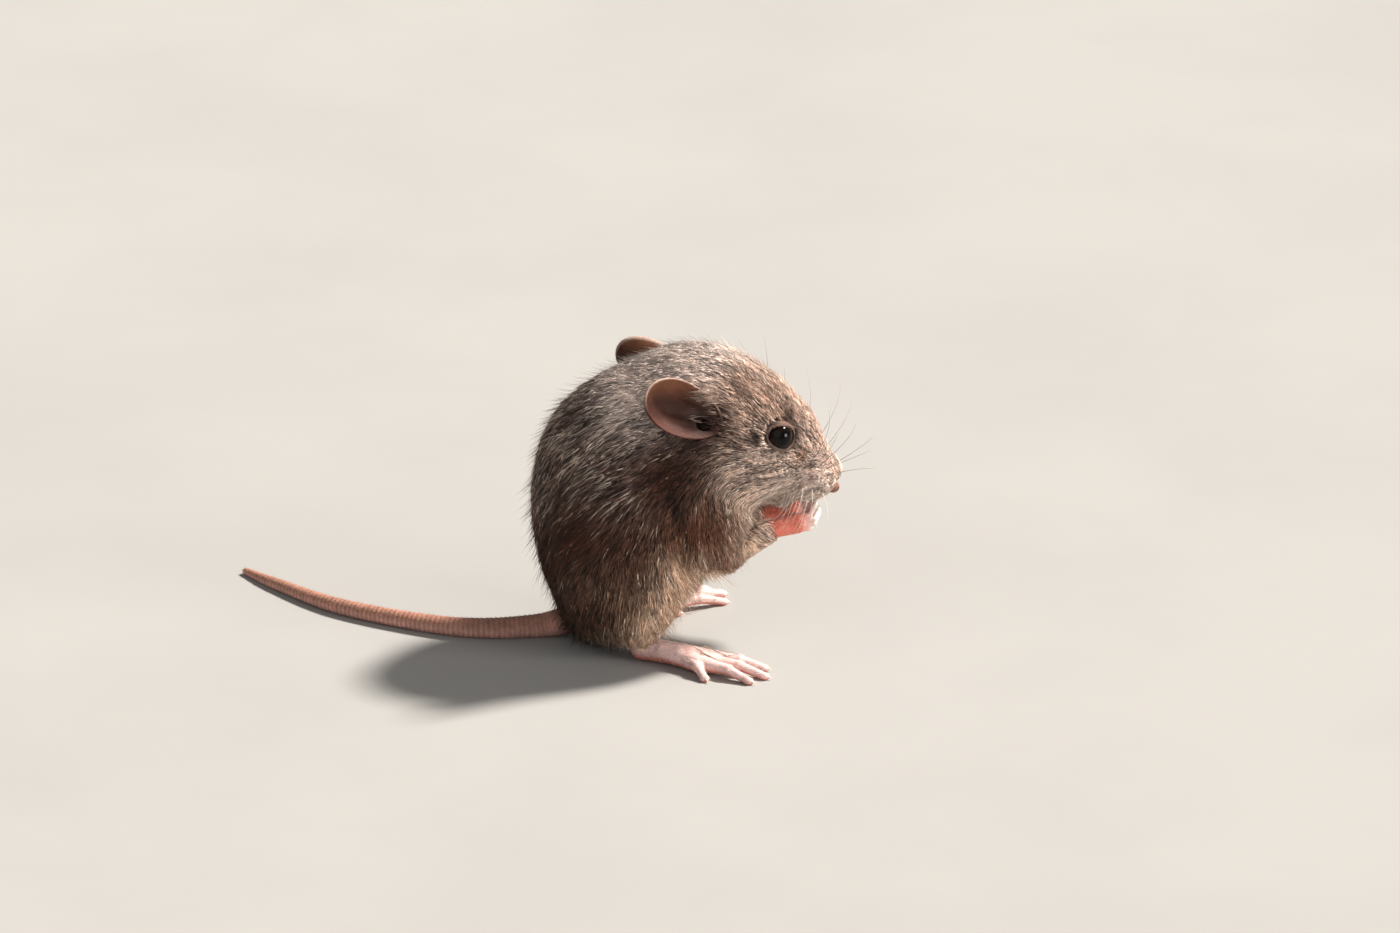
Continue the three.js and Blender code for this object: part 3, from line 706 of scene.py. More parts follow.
class Coat:
    """What the coat is like at each of some points: its lie, length and colours."""

    def __init__(self, points):
        q = to_head(points)
        side = np.clip(points[:, 1:2] / MIDLINE, -1, 1)
        head_side = np.clip(q[:, 1:2] / MIDLINE, -1, 1)
        on_head = smoothstep(-2.5, 2.5, trunk_field(points) - head_field(q))[:, None]
        body = self.look_up(points, BODY_COAT, BODY_SOFTNESS)
        head = self.look_up(q, HEAD_COAT, HEAD_SOFTNESS)
        lie = body["lie"] * np.hstack([np.ones_like(side), side, np.ones_like(side)])
        head_lie = head["lie"] * np.hstack([np.ones_like(side), head_side, np.ones_like(side)])
        self.lie = unit(mix(lie, head_lie @ HEAD_AXES.T, on_head))
        self.on_head = on_head[:, 0]
        for name in ("length", "band", "base", "tip", "black", "pale"):
            share = on_head if body[name].ndim == 2 else self.on_head
            setattr(self, name, mix(body[name], head[name], share))
        for place, reach, strength, colour in MARKS:
            away = np.linalg.norm(folded(q) - vec(*place), axis=1)
            self.tint(strength * np.exp(-((away / reach) ** 2)), colour, 0.5)
        for place, reach, strength, colour in BODY_MARKS:
            away = np.linalg.norm((points - vec(*place)) / vec(*reach), axis=1)
            self.tint(strength * np.exp(-(away**4)), colour, 1)

    def tint(self, share, colour, at_root):
        """Takes the hair a share of the way to a colour, and its root to at_root times that colour."""
        self.band = mix(self.band, vec(*colour), share[:, None])
        self.base = mix(self.base, vec(*colour) * at_root, share[:, None])
        self.pale = self.pale * (1 - share)

    @staticmethod
    def look_up(points, spots, softness):
        points = folded(points)
        weights = np.empty((len(points), len(spots)), dtype=np.float32)
        for i, spot in enumerate(spots):
            weights[:, i] = 1 / (np.sum((points - vec(*spot[0])) ** 2, axis=1) + softness) ** 2
        weights /= weights.sum(axis=1, keepdims=True)
        rows = [(lie, length, *COLOURS[colour]) for _, lie, length, colour in spots]
        names = ("lie", "length", "band", "base", "tip", "black", "pale")
        columns = zip(names, zip(*rows))
        return {name: weights @ np.array(column, dtype=np.float32) for name, column in columns}


def waves(points, scale, seed):
    """Smooth uneven variation from -1 to 1, the same on every run."""
    draw = np.random.default_rng(seed)
    total = np.zeros(len(points), dtype=np.float32)
    for _ in range(6):
        direction = unit(draw.normal(size=3)).astype(np.float32)
        direction = direction * draw.uniform(0.6, 1.6) * 2 * math.pi / scale
        total += np.sin(points @ direction + np.float32(draw.uniform(0, 2 * math.pi)))
    return total / 3.2


# ------------------------------------------------------------------ meshes

def mesh_object(name, vertices, corners, starts, smooth=True):
    """A mesh from arrays: vertices in mm, the faces' corners in one row, and where each face starts."""
    mesh = bpy.data.meshes.new(name)
    mesh.vertices.add(len(vertices))
    mesh.vertices.foreach_set("co", (np.asarray(vertices, dtype=np.float32) * MM).ravel())
    mesh.loops.add(len(corners))
    mesh.loops.foreach_set("vertex_index", np.asarray(corners, dtype=np.int32))
    mesh.polygons.add(len(starts))
    mesh.polygons.foreach_set("loop_start", np.asarray(starts, dtype=np.int32))
    mesh.polygons.foreach_set("use_smooth", np.full(len(starts), smooth))
    mesh.update(calc_edges=True)
    made = bpy.data.objects.new(name, mesh)
    bpy.context.scene.collection.objects.link(made)
    return made


def face_rows(faces):
    """The corners of the faces in one row, and where each face starts."""
    starts = np.concatenate([[0], np.cumsum([len(face) for face in faces])[:-1]])
    return np.concatenate([np.array(face) for face in faces]), starts


def paint(made, name, values):
    """Stores a colour or three numbers on each vertex, for the material to read."""
    layer = made.data.attributes.new(name, "FLOAT_COLOR", "POINT")
    whole = np.ones((len(values), 4), dtype=np.float32)
    whole[:, :3] = values
    layer.data.foreach_set("color", whole.ravel())


def shrink(made, ratio, group_name, weights):
    """Thins the mesh where the coat hides it, and leaves the bare parts fine."""
    group = made.vertex_groups.new(name=group_name)
    levels = np.round(weights * 4).astype(int)
    for level in range(1, 5):
        members = np.flatnonzero(levels == level)
        if len(members):
            group.add(members.tolist(), level / 4, "REPLACE")
    modifier = made.modifiers.new("thin", "DECIMATE")
    modifier.ratio = ratio
    modifier.vertex_group = group_name
    modifier.vertex_group_factor = 1.0
    evaluated = made.evaluated_get(bpy.context.evaluated_depsgraph_get())
    thinned = bpy.data.meshes.new_from_object(evaluated)
    made.modifiers.clear()
    old = made.data
    made.data = thinned
    made.vertex_groups.clear()
    bpy.data.meshes.remove(old)
    thinned.name = made.name
    thinned.polygons.foreach_set("use_smooth", np.ones(len(thinned.polygons), dtype=bool))


def vertices_of(made):
    flat = np.empty(len(made.data.vertices) * 3, dtype=np.float32)
    made.data.vertices.foreach_get("co", flat)
    return flat.reshape(-1, 3) / MM


# ------------------------------------------------------------------ materials

class Nodes:
    """A material's node tree, with short calls for the nodes used here."""

    def __init__(self, name):
        self.material = bpy.data.materials.new(name)
        self.material.use_nodes = True
        self.tree = self.material.node_tree
        self.shader = self.tree.nodes["Principled BSDF"]

    def add(self, kind, inputs=(), **settings):
        made = self.tree.nodes.new(kind)
        for key, value in settings.items():
            setattr(made, key, value)
        for key, value in dict(inputs).items():
            self.put(made.inputs[key], value)
        return made

    def put(self, socket, value):
        if isinstance(value, bpy.types.NodeSocket):
            self.tree.links.new(value, socket)
        else:
            socket.default_value = value

    def attribute(self, name):
        return self.add("ShaderNodeAttribute", attribute_name=name).outputs["Color"]

    def split(self, colour):
        return self.add("ShaderNodeSeparateColor", {"Color": colour}).outputs

    def blend(self, share, a, b, how="MIX"):
        made = self.add("ShaderNodeMix", data_type="RGBA", blend_type=how)
        for index, value in ((0, share), (6, a), (7, b)):
            self.put(made.inputs[index], value)
        return made.outputs[2]

    def shade(self, colour, factor):
        """The colour times a factor."""
        grey = self.add("ShaderNodeCombineColor", {0: factor, 1: factor, 2: factor}).outputs[0]
        return self.blend(1.0, colour, grey, "MULTIPLY")

    def span(self, value, low, high, to_low=0.0, to_high=1.0):
        inputs = {"Value": value, "From Min": low, "From Max": high, "To Min": to_low, "To Max": to_high}
        return self.add("ShaderNodeMapRange", inputs, interpolation_type="SMOOTHSTEP").outputs["Result"]

    def maths(self, how, a, b=0.0):
        return self.add("ShaderNodeMath", {0: a, 1: b}, operation=how).outputs[0]

    def noise(self, size, detail=3.0):
        """Noise whose lumps are size millimetres across, fixed to the model."""
        place = self.add("ShaderNodeTexCoord").outputs["Object"]
        inputs = {"Vector": place, "Scale": 1 / (size * MM), "Detail": detail, "Roughness": 0.55}
        return self.add("ShaderNodeTexNoise", inputs).outputs["Fac"]

    def cells(self, size):
        place = self.add("ShaderNodeTexCoord").outputs["Object"]
        inputs = {"Vector": place, "Scale": 1 / (size * MM)}
        return self.add("ShaderNodeTexVoronoi", inputs).outputs["Distance"]

    def bump(self, height, depth, strength=0.6):
        inputs = {"Height": height, "Distance": depth * MM, "Strength": strength}
        self.put(self.shader.inputs["Normal"], self.add("ShaderNodeBump", inputs).outputs["Normal"])

    def finish(self, **values):
        for key, value in values.items():
            self.put(self.shader.inputs[key.replace("_", " ")], value)
        return self.material


def coat_material():
    """Each hair runs from its dark root through a lighter band to a dark tip."""
    n = Nodes("coat")
    along, tip, tone = n.split(n.attribute("strand"))[:3]
    band_share = n.span(along, 0.16, 0.58)
    colour = n.blend(band_share, n.attribute("coat_base"), n.attribute("coat_band"))
    tip_share = n.maths("MULTIPLY", n.span(along, 0.66, 0.96), tip)
    colour = n.blend(tip_share, colour, (0.012, 0.009, 0.008, 1))
    lively = n.span(n.noise(0.9), 0.3, 0.7, 0.92, 1.08)
    shade = n.maths("MULTIPLY", lively, n.maths("MULTIPLY", tone, 2.0))
    colour = n.shade(colour, shade)
    return n.finish(Base_Color=colour, Roughness=0.42, Specular_IOR_Level=0.28)


def skin_material():
    """Bare skin and the undercoat: mottled colour, fine creases and a soft glow of light from within."""
    n = Nodes("skin")
    colour = n.attribute("skin_colour")
    bare, damp, _ = n.split(n.attribute("skin_kind"))[:3]
    mottle = n.span(n.noise(1.1), 0.32, 0.68, 0.86, 1.08)
    fine = n.span(n.noise(0.25), 0.3, 0.7, 0.90, 1.08)
    shade = n.maths("MULTIPLY", mottle, fine)
    colour = n.shade(colour, shade)
    flush = n.maths("MULTIPLY", n.span(n.noise(2.3), 0.5, 0.75, 0.0, 0.35), bare)
    colour = n.blend(flush, colour, (0.62, 0.22, 0.17, 1))
    creases = n.maths("ADD", n.cells(0.30), n.maths("MULTIPLY", n.noise(0.12), 0.6))
    n.bump(creases, 0.06, 0.45)
    rough = n.span(damp, 0.0, 1.0, 0.62, 0.28)
    return n.finish(Base_Color=colour, Roughness=rough, Subsurface_Weight=0.12,
                    Subsurface_Radius=(0.0007, 0.0004, 0.0003), Specular_IOR_Level=0.14)


def eye_material():
    """Nearly black, with a deep brown iris that only shows where light falls into it."""
    n = Nodes("eye")
    iris, _, _ = n.split(n.attribute("iris"))[:3]
    fibres = n.span(n.noise(0.16), 0.35, 0.7, 0.5, 1.3)
    brown = n.blend(fibres, (0.002, 0.0012, 0.001, 1), (0.009, 0.004, 0.0025, 1))
    colour = n.blend(iris, (0.0015, 0.0012, 0.0012, 1), brown)
    return n.finish(Base_Color=colour, Roughness=0.08, Coat_Weight=0.12, Coat_Roughness=0.03,
                    Specular_IOR_Level=0.1)


def claw_material():
    n = Nodes("claw")
    along, _, _ = n.split(n.attribute("strand"))[:3]
    colour = n.blend(along, (0.62, 0.40, 0.33, 1), (0.78, 0.66, 0.56, 1))
    streak = n.span(n.noise(0.12), 0.35, 0.7, 0.85, 1.1)
    colour = n.shade(colour, streak)
    n.bump(n.noise(0.08), 0.02, 0.3)
    return n.finish(Base_Color=colour, Roughness=0.30, Subsurface_Weight=0.2,
                    Subsurface_Radius=(0.0006, 0.0004, 0.0003))


def whisker_material():
    n = Nodes("whisker")
    along, dark, _ = n.split(n.attribute("strand"))[:3]
    colour = n.blend(dark, (0.78, 0.72, 0.64, 1), (0.035, 0.022, 0.016, 1))
    colour = n.blend(n.maths("MULTIPLY", along, 0.5), colour, (0.70, 0.62, 0.54, 1))
    patchy = n.span(n.noise(0.6), 0.3, 0.7, 0.85, 1.1)
    colour = n.shade(colour, patchy)
    return n.finish(Base_Color=colour, Roughness=0.32)


FLOOR_COLOUR = (0.31, 0.30, 0.285, 1)


def floor_material():
    n = Nodes("floor")
    tone = n.span(n.noise(60, 4.0), 0.3, 0.7, 0.97, 1.03)
    colour = n.shade(FLOOR_COLOUR, tone)
    return n.finish(Base_Color=colour, Roughness=0.85)


# ------------------------------------------------------------------ the skin

SKIN_STEP = 0.16
SKIN_BOX = ((-44, -18, -0.4), (31, 28, 40.5))
SKIN_TRIANGLES = 192_000
FLESH = [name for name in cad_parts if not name.startswith("eye_")]


def furred_field(p):
    """Distance to the skin that carries long hair."""
    d = body_field(p)
    for word, side in SIDES.items():
        for place, fillet, field, key in (
            (arm_place(side), ARM_JOIN, arm_field, side),
            (shank_place(word), SHANK_JOIN, shank_field, word),
        ):
            hit = within(p, *place)
            if hit.any():
                d[hit] = blend(d[hit], field(p[hit], key), fillet)
    return d


def bare_shares(p, own):
    """How far each bare part's skin shows at each point."""
    shares = {name: smoothstep(0.35, -0.05, own[name]) for name in ("ear", "paw", "foot")}
    shares["nose"] = smoothstep(0.85, 0.45, own["nose"])
    shares["lid"] = smoothstep(0.14, -0.02, own["lid"])
    shares["eyelid"] = smoothstep(0.10, -0.04, own["eyelid"]) * (1 - shares["lid"])
    shares["tail"] = smoothstep(0.3, 0.0, own["tail"]) * smoothstep(-2.5, -6.5, p[:, 0])
    shares["foot"] = shares["foot"] * smoothstep(0.2, 1.2, own["shank"] + 1.0)
    return shares


def skin_looks(p, normals, own):
    """The skin's colour at each point, and how bare, damp and ringed it is."""
    coat = Coat(p)
    colour = mix(coat.base, coat.band, 0.20)
    colour = colour * (1 + 0.18 * waves(p, 2.2, UNDERCOAT_SEED))[:, None]
    shares = bare_shares(p, own)
    q = to_head(p)
    up = normals[:, 2]
    tail = mix(vec(*TAIL_BELOW), vec(*TAIL_ABOVE), smoothstep(-0.3, 0.65, up)[:, None])
    _, along = tail_field(p)
    rings = 0.5 + 0.5 * np.cos(2 * math.pi * along / TAIL_RING)
    tail = tail * (1 - 0.26 * rings)[:, None]
    ear = np.zeros_like(p)
    for side in SIDES.values():
        u, v, rim, _ = ear_place(q, side)
        mine = (q[:, 1] * side > 0)
        # Painted light and shade on the cup: shaded skin turns to lit skin across it, with a painted
        # highlight on the rim of the lit side.
        tone = mix(vec(*EAR_SHADED_SKIN), vec(*EAR_LIT), smoothstep(0.15, 0.95, 0.8 * v + 0.45 * u)[:, None])
        tone = mix(tone, vec(*EAR_LOBE), smoothstep(-0.35, -0.8, v + 0.2 * u)[:, None])
        edge = smoothstep(0.93, 1.0, rim) * smoothstep(-0.4, 0.5, v + 0.4 * u)
        tone = mix(tone, vec(*EAR_RIM), edge[:, None])
        # Painted shade: the canal, and the flap before it, are painted dark.
        canal_shade = np.exp(-(np.linalg.norm(aside(q, side) - vec(*CANAL_AT), axis=1) / 2.3) ** 2)[:, None]
        ear[mine] = mix(tone, vec(*CANAL_SHADE), np.clip(canal_shade * 1.3, 0, 1))[mine]
        flap_shade = np.exp(-(np.linalg.norm(aside(q, side) - vec(*EAR_FLAP_AT), axis=1) / 1.5) ** 4)[:, None]
        colour = mix(colour, vec(*CANAL_SHADE), flap_shade)
    from_eye = q[:, 2] - to_head(EYES["right"][None])[0, 2]
    paint_with = {
        "tail": tail,
        "ear": ear,
        # The fingertips fade to a painted highlight.
        "paw": mix(vec(*PINK_PAW), vec(*FINGER_HIGHLIGHT), smoothstep(24.6, 27.0, p[:, 0])[:, None]),
        "foot": mix(vec(*PINK_FOOT), vec(*PINK_PAW), smoothstep(0.2, -0.7, up)[:, None]),
        "nose": vec(*NOSE_SKIN),
        "eyelid": vec(*EYELID_SKIN),
        # The lower lid's rim fades to a painted reflection.
        "lid": mix(vec(*LID_SKIN), vec(*LID_REFLECTION), smoothstep(-0.95, -1.35, from_eye)[:, None]),
    }
    for name, tone in paint_with.items():
        colour = mix(colour, tone, shares[name][:, None])
    bare = np.max([shares[name] for name in ("paw", "foot", "tail", "nose")], axis=0)
    damp = np.max([shares["nose"], shares["lid"], 0.35 * shares["paw"]], axis=0)
    return np.clip(colour, 0.004, 0.95), np.stack([bare, damp, shares["tail"]], axis=1)


def make_skin():
    vertices, quads = surface_nets(skin_field, *SKIN_BOX, SKIN_STEP)
    vertices = move_to(skin_field, vertices)
    vertices[:, 2] = np.maximum(vertices[:, 2], 0)
    skin = mesh_object("skin", vertices, quads.ravel(), np.arange(len(quads)) * 4)
    _, own = skin_field(vertices, parts=True)
    nearest_bare = np.min([own[name] for name in ("ear", "paw", "foot", "tail", "nose", "lid")], axis=0)
    hidden = smoothstep(0.4, 1.6, nearest_bare)
    shrink(skin, SKIN_TRIANGLES / (2 * len(quads)), "hidden", hidden)
    points = vertices_of(skin)
    _, own = skin_field(points, parts=True)
    normals = unit(gradient(skin_field, points))
    colour, kind = skin_looks(points, normals, own)
    paint(skin, "skin_colour", colour)
    paint(skin, "skin_kind", kind)
    skin.data.materials.append(skin_material())
    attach(skin, "root")
    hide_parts(*FLESH)
    return skin


# ------------------------------------------------------------------ eyes

EYE_AROUND, EYE_ALONG, CORNEA_RISE = 56, 40, 0.03


def make_eye(word):
    """A glossy ball, slightly fuller over its cornea."""
    out = eye_out(word)
    ahead = unit(np.cross(out, vec(0, 0, 1)))
    frame_axes = np.stack([ahead, np.cross(out, ahead), out], axis=1)
    vertices = [out * EYE_RADIUS * (1 + CORNEA_RISE)]
    shares = [0.0]
    for i in range(1, EYE_ALONG):
        polar = math.pi * i / EYE_ALONG
        bulge = 1 + CORNEA_RISE * math.exp(-((polar / 0.8) ** 2))
        for j in range(EYE_AROUND):
            turn_by = 2 * math.pi * j / EYE_AROUND
            across = math.sin(polar)
            ring = vec(across * math.cos(turn_by), across * math.sin(turn_by), math.cos(polar))
            vertices.append(frame_axes @ ring * EYE_RADIUS * bulge)
            shares.append(polar)
    vertices.append(-out * EYE_RADIUS)
    shares.append(math.pi)
    faces = []
    for j in range(EYE_AROUND):
        following = (j + 1) % EYE_AROUND
        faces.append((0, 1 + j, 1 + following))
        last = 1 + (EYE_ALONG - 2) * EYE_AROUND
        faces.append((len(vertices) - 1, last + following, last + j))
        for i in range(EYE_ALONG - 2):
            a = 1 + i * EYE_AROUND
            b = a + EYE_AROUND
            faces.append((a + j, b + j, b + following, a + following))
    eye = mesh_object(f"eyeball_{word}", np.array(vertices) + EYES[word], *face_rows(faces))
    polar = np.array(shares)
    iris = smoothstep(0.42, 0.62, polar) * smoothstep(1.15, 0.85, polar)
    paint(eye, "iris", np.stack([iris, iris, iris], axis=1))
    eye.data.materials.append(eye_material())
    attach(eye, "root")
    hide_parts(f"eye_{word}")


# ------------------------------------------------------------------ stage, light and camera

CAMERA_AZIMUTH, CAMERA_ELEVATION, CAMERA_DISTANCE = -6.0, 22.0, 1.5
PHOTO_WIDTH, PHOTO_HEIGHT, PIXELS_PER_MM = 1400, 933, 8.0
ORIGIN_PIXEL = (600, 640)
SENSOR = 36.0


def make_camera():
    a, e = math.radians(CAMERA_AZIMUTH), math.radians(CAMERA_ELEVATION)
    back = Vector((math.sin(a) * math.cos(e), -math.cos(a) * math.cos(e), math.sin(e)))
    right = Vector((math.cos(a), math.sin(a), 0))
    up = back.cross(right)
    across = (PHOTO_WIDTH / 2 - ORIGIN_PIXEL[0]) / PIXELS_PER_MM * MM
    above = (ORIGIN_PIXEL[1] - PHOTO_HEIGHT / 2) / PIXELS_PER_MM * MM
    camera = bpy.data.objects.new("camera", bpy.data.cameras.new("camera"))
    camera.data.sensor_width = SENSOR
    camera.data.lens = SENSOR * CAMERA_DISTANCE / (PHOTO_WIDTH / PIXELS_PER_MM * MM)
    camera.data.clip_start, camera.data.clip_end = 0.05, 20
    camera.location = right * across + up * above + back * CAMERA_DISTANCE
    camera.rotation_mode = "QUATERNION"
    camera.rotation_quaternion = Matrix((right, up, back)).transposed().to_quaternion()
    bpy.context.scene.collection.objects.link(camera)
    bpy.context.scene.camera = camera


def make_light(name, towards, strength, softness, colour):
    """A far, soft light: where it stands as seen from the model, its strength and its spread in degrees."""
    light = bpy.data.lights.new(name, "SUN")
    light.energy, light.angle, light.color = strength, math.radians(softness), colour
    made = bpy.data.objects.new(name, light)
    made.location = towards
    made.rotation_mode = "QUATERNION"
    made.rotation_quaternion = (-Vector(towards)).to_track_quat("-Z", "Y")
    bpy.context.scene.collection.objects.link(made)


FLOOR_HALF = 30.0


def make_stage():
    corners = np.array([(-1, -1, 0), (1, -1, 0), (1, 1, 0), (-1, 1, 0)]) * FLOOR_HALF / MM
    floor = mesh_object("floor", corners, [0, 1, 2, 3], [0], smooth=False)
    floor.data.materials.append(floor_material())
    make_light("key", (0.50, 0.20, 0.62), 8.4, 8, (1.0, 0.95, 0.89))
    make_light("face", (0.74, -0.44, 0.24), 1.95, 24, (1.0, 0.96, 0.92))
    make_light("fill", (-0.25, -0.75, 0.55), 0.50, 60, (0.92, 0.96, 1.0))
    world = bpy.data.worlds.new("studio")
    bpy.context.scene.world = world
    world.use_nodes = True
    sky = world.node_tree.nodes["Background"]
    sky.inputs["Color"].default_value = (1.0, 0.985, 0.96, 1)
    sky.inputs["Strength"].default_value = 0.24
    bpy.context.scene.view_settings.view_transform = "Standard"


# ------------------------------------------------------------------ tufts

LONG_TUFTS = 134_000
BODY_BANDS = ("haunch", "flank", "back")
HEAD_BANDS = ("cheek", "crown")
# The side of a tuft's patch on OFBake, how deep its root is sunk, and the share of long guard hairs.
PATCH, ROOT_SUNK, GUARD_SHARE = 0.003, 0.12, 0.09
# How wide a tuft is for its length, how much longer guard hairs and the head's tufts are, and the
# spacing of the roots.
TUFT_WIDTH, GUARD_LONGER, HEAD_LONGER, TUFT_SPACING, DOWN_SPACING = (0.028, 0.040), 1.3, 1.35, 0.105, 0.12
# The margin round the map, and how many places are tried for each root that is kept.
MAP_MARGIN, TRIES = 0.01, 2.4
# How far apart the skin's slope is read under a tuft, and how far each step may move it.
TUFT_REACH = (0.15, 1.5)
# The pale hairs' colour; they are partly the coat's own pale hairs and partly painted glints.
STRAW = vec(0.86, 0.73, 0.62)
BODY_LOCK, HEAD_LOCK, BODY_DRAWN, HEAD_DRAWN = 0.82, 0.32, 0.42, 0.14
# The long cells, down the lie and across it, in which neighbouring tufts share a tone.
BODY_STREAK, HEAD_STREAK = (3.0, 0.40), (2.4, 0.24)
# Where hairs stand up more: at the front of the thigh and chest, and before the ear.
CHEST_FRINGE_AT, CHEST_FRINGE_REACH, CHEST_FRINGE_LIFT = (12.5, 5.0, 10.0), (3.0, 5.0, 2.4), 1.0
EAR_FRINGE_AT, EAR_FRINGE_REACH, EAR_FRINGE_LIFT = (-1.6, 7.8, 1.2), 1.6, 0.6


def skin_triangles(skin):
    skin.data.calc_loop_triangles()
    flat = np.empty(len(skin.data.loop_triangles) * 3, dtype=np.int32)
    skin.data.loop_triangles.foreach_get("vertices", flat)
    return flat.reshape(-1, 3)


def scatter(points, triangles, growth, count, spacing):
    """Roots on the skin, as dense as growth (per vertex) asks for, and none too close together."""
    a, b, c = (points[triangles[:, k]] for k in range(3))
    area = np.linalg.norm(np.cross(b - a, c - a), axis=1) * growth[triangles].mean(axis=1)
    chosen = rng.choice(len(triangles), size=int(count * TRIES), p=area / area.sum())
    s, t = rng.random((2, len(chosen))).astype(np.float32)
    over = s + t > 1
    s, t = np.where(over, 1 - s, s)[:, None], np.where(over, 1 - t, t)[:, None]
    roots = a[chosen] + (b - a)[chosen] * s + (c - a)[chosen] * t
    local = growth[triangles[chosen, 0]]
    size = spacing / np.sqrt(np.maximum(local, 0.05))
    size = np.exp2(np.round(np.log2(size) * 4) / 4)[:, None]
    keys = np.hstack([np.floor(roots / size), size * 1000]).astype(np.int64)
    _, kept = np.unique(keys, axis=0, return_index=True)
    kept = rng.permutation(kept)[:count]
    return roots[kept]


def tangent(direction, normal):
    return unit(direction - normal * np.einsum("ij,ij->i", direction, normal)[:, None])


def streaks(points, lie, normals, size):
    """Numbers long narrow cells that run the way the coat lies."""
    grain = np.round(lie * 2)
    across = np.round(np.cross(normals, lie) * 2)
    wander = waves(points, 3.0, STREAK_SEED) * 0.3
    aside_cell = np.einsum("ij,ij->i", points, unit(across)) / size[:, 1] + wander
    down_cell = np.einsum("ij,ij->i", points, unit(grain)) / size[:, 0] + np.floor(aside_cell) * 0.618
    keys = np.hstack([np.floor(np.stack([aside_cell, down_cell], axis=1)), grain, across]).astype(np.int64)
    _, streak = np.unique(keys, axis=0, return_inverse=True)
    return streak.ravel()


def gather(points, size, share, seed):
    """Draws points together into locks, in uneven cells."""
    wandering = np.stack([waves(points, BODY_LOCK * 4, seed + k) for k in range(3)], axis=1)
    keys = np.hstack([np.floor(points / size + wandering * 0.45), size * 1000]).astype(np.int64)
    _, lock = np.unique(keys, axis=0, return_inverse=True)
    lock = lock.ravel()
    many = np.bincount(lock)
    middle = np.stack([np.bincount(lock, points[:, k]) / many for k in range(3)], axis=1).astype(np.float32)
    return mix(points, middle[lock], share)


def unwrap_body(points):
    """Round the body and up it."""
    angle = np.arctan2(points[:, 1], points[:, 0] - 3)
    return np.stack([angle, points[:, 2]], axis=1)


def unwrap_head(points):
    """Round the head and along it."""
    q = to_head(points)
    return np.stack([np.arctan2(q[:, 1], q[:, 2]), q[:, 0]], axis=1)


def patch_corners(unwrapped):
    """Where each tuft's patch starts, so that all of them fit on one map."""
    low, high = unwrapped.min(axis=0), unwrapped.max(axis=0)
    room = 1 - 2 * MAP_MARGIN - PATCH
    return MAP_MARGIN + (unwrapped - low) / np.maximum(high - low, 1e-6) * room


def lay_patches(made, patch, corners):
    layer = made.data.uv_layers.new(name="OFBake")
    layer.data.foreach_set("uv", patch[corners].astype(np.float32).ravel())


def tuft_mesh(name, stations, normals, widths, looks, unwrapped, material):
    """Closed three-sided spikes through two or three stations each, from the root to the tip."""
    count, rings = len(stations[0]), len(stations) - 1
    corner = patch_corners(unwrapped)
    per = 3 * rings + 1
    vertices = np.empty((count, per, 3), dtype=np.float32)
    patch = np.empty((count, per, 2), dtype=np.float32)
    along = np.empty((count, per), dtype=np.float32)
    ring_width = (0.8, 1.0) if rings == 2 else (1.0,)
    for ring in range(rings):
        heading = unit(stations[ring + 1] - stations[ring])
        across = unit(np.cross(heading, normals)) * (widths * ring_width[ring] / 2)[:, None]
        ridge = normals * (widths * ring_width[ring] * 0.45)[:, None]
        for k, offset in enumerate((across, -across, ridge)):
            vertices[:, ring * 3 + k] = stations[ring] + offset
            patch[:, ring * 3 + k] = corner + np.array([(0.0, 1.0, 0.5)[k], ring / rings]) * PATCH
        along[:, ring * 3:ring * 3 + 3] = ring / rings
    vertices[:, -1] = stations[-1]
    patch[:, -1] = corner + np.array([0.5, 1.0]) * PATCH
    along[:, -1] = 1.0
    faces = [(0, 2, 1)]
    for ring in range(rings - 1):
        for k in range(3):
            following = (k + 1) % 3
            faces.append((ring * 3 + k, ring * 3 + following, ring * 3 + 3 + following, ring * 3 + 3 + k))
    last = 3 * (rings - 1)
    faces += [(last + k, last + (k + 1) % 3, per - 1) for k in range(3)]
    one, first = face_rows(faces)
    corners = (one[None] + (np.arange(count) * per)[:, None]).ravel()
    starts = (first[None] + (np.arange(count) * len(one))[:, None]).ravel()
    made = mesh_object(name, vertices.reshape(-1, 3), corners, starts)
    spread = lambda values: np.repeat(values[:, None], per, axis=1).reshape(count * per, -1)
    strand = np.stack([along.ravel(), spread(looks["tip"])[:, 0], spread(looks["tone"])[:, 0]], axis=1)
    paint(made, "strand", strand)
    paint(made, "coat_band", spread(looks["band"]))
    paint(made, "coat_base", spread(looks["base"]))
    lay_patches(made, patch.reshape(-1, 2), corners)
    made.data.materials.append(material)
    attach(made, "root")


def everywhere(colour, count):
    return np.repeat(vec(*colour)[None], count, axis=0)


def hair_looks(coat, streak):
    """Colours of each tuft: most follow their place, some are black and some pale, the pale ones partly
    painted glints.
    """
    count = len(coat.length)
    many = streak.max() + 1
    draw = rng.random(count) * 0.7 + rng.random(many)[streak] * 0.3
    black = draw < coat.black
    # Pale hairs, partly painted glints: they are brightened beyond the rest.
    pale = draw > 1 - coat.pale
    tone = rng.uniform(0.62, 1.38, count) * rng.uniform(0.45, 1.45, many)[streak]
    tone = np.where(black, tone * 0.20, np.where(pale, np.maximum(tone, 0.85) * 1.25, tone))
    band = np.where(pale[:, None], mix(coat.band, STRAW, 0.70), coat.band)
    tip = np.clip(coat.tip * rng.uniform(0.5, 1.3, count), 0, 1)
    tip = np.where(pale, 0.05, np.where(black, 1.0, tip))
    return {"band": band, "base": coat.base, "tip": tip, "tone": np.clip(tone / 2, 0, 1)}


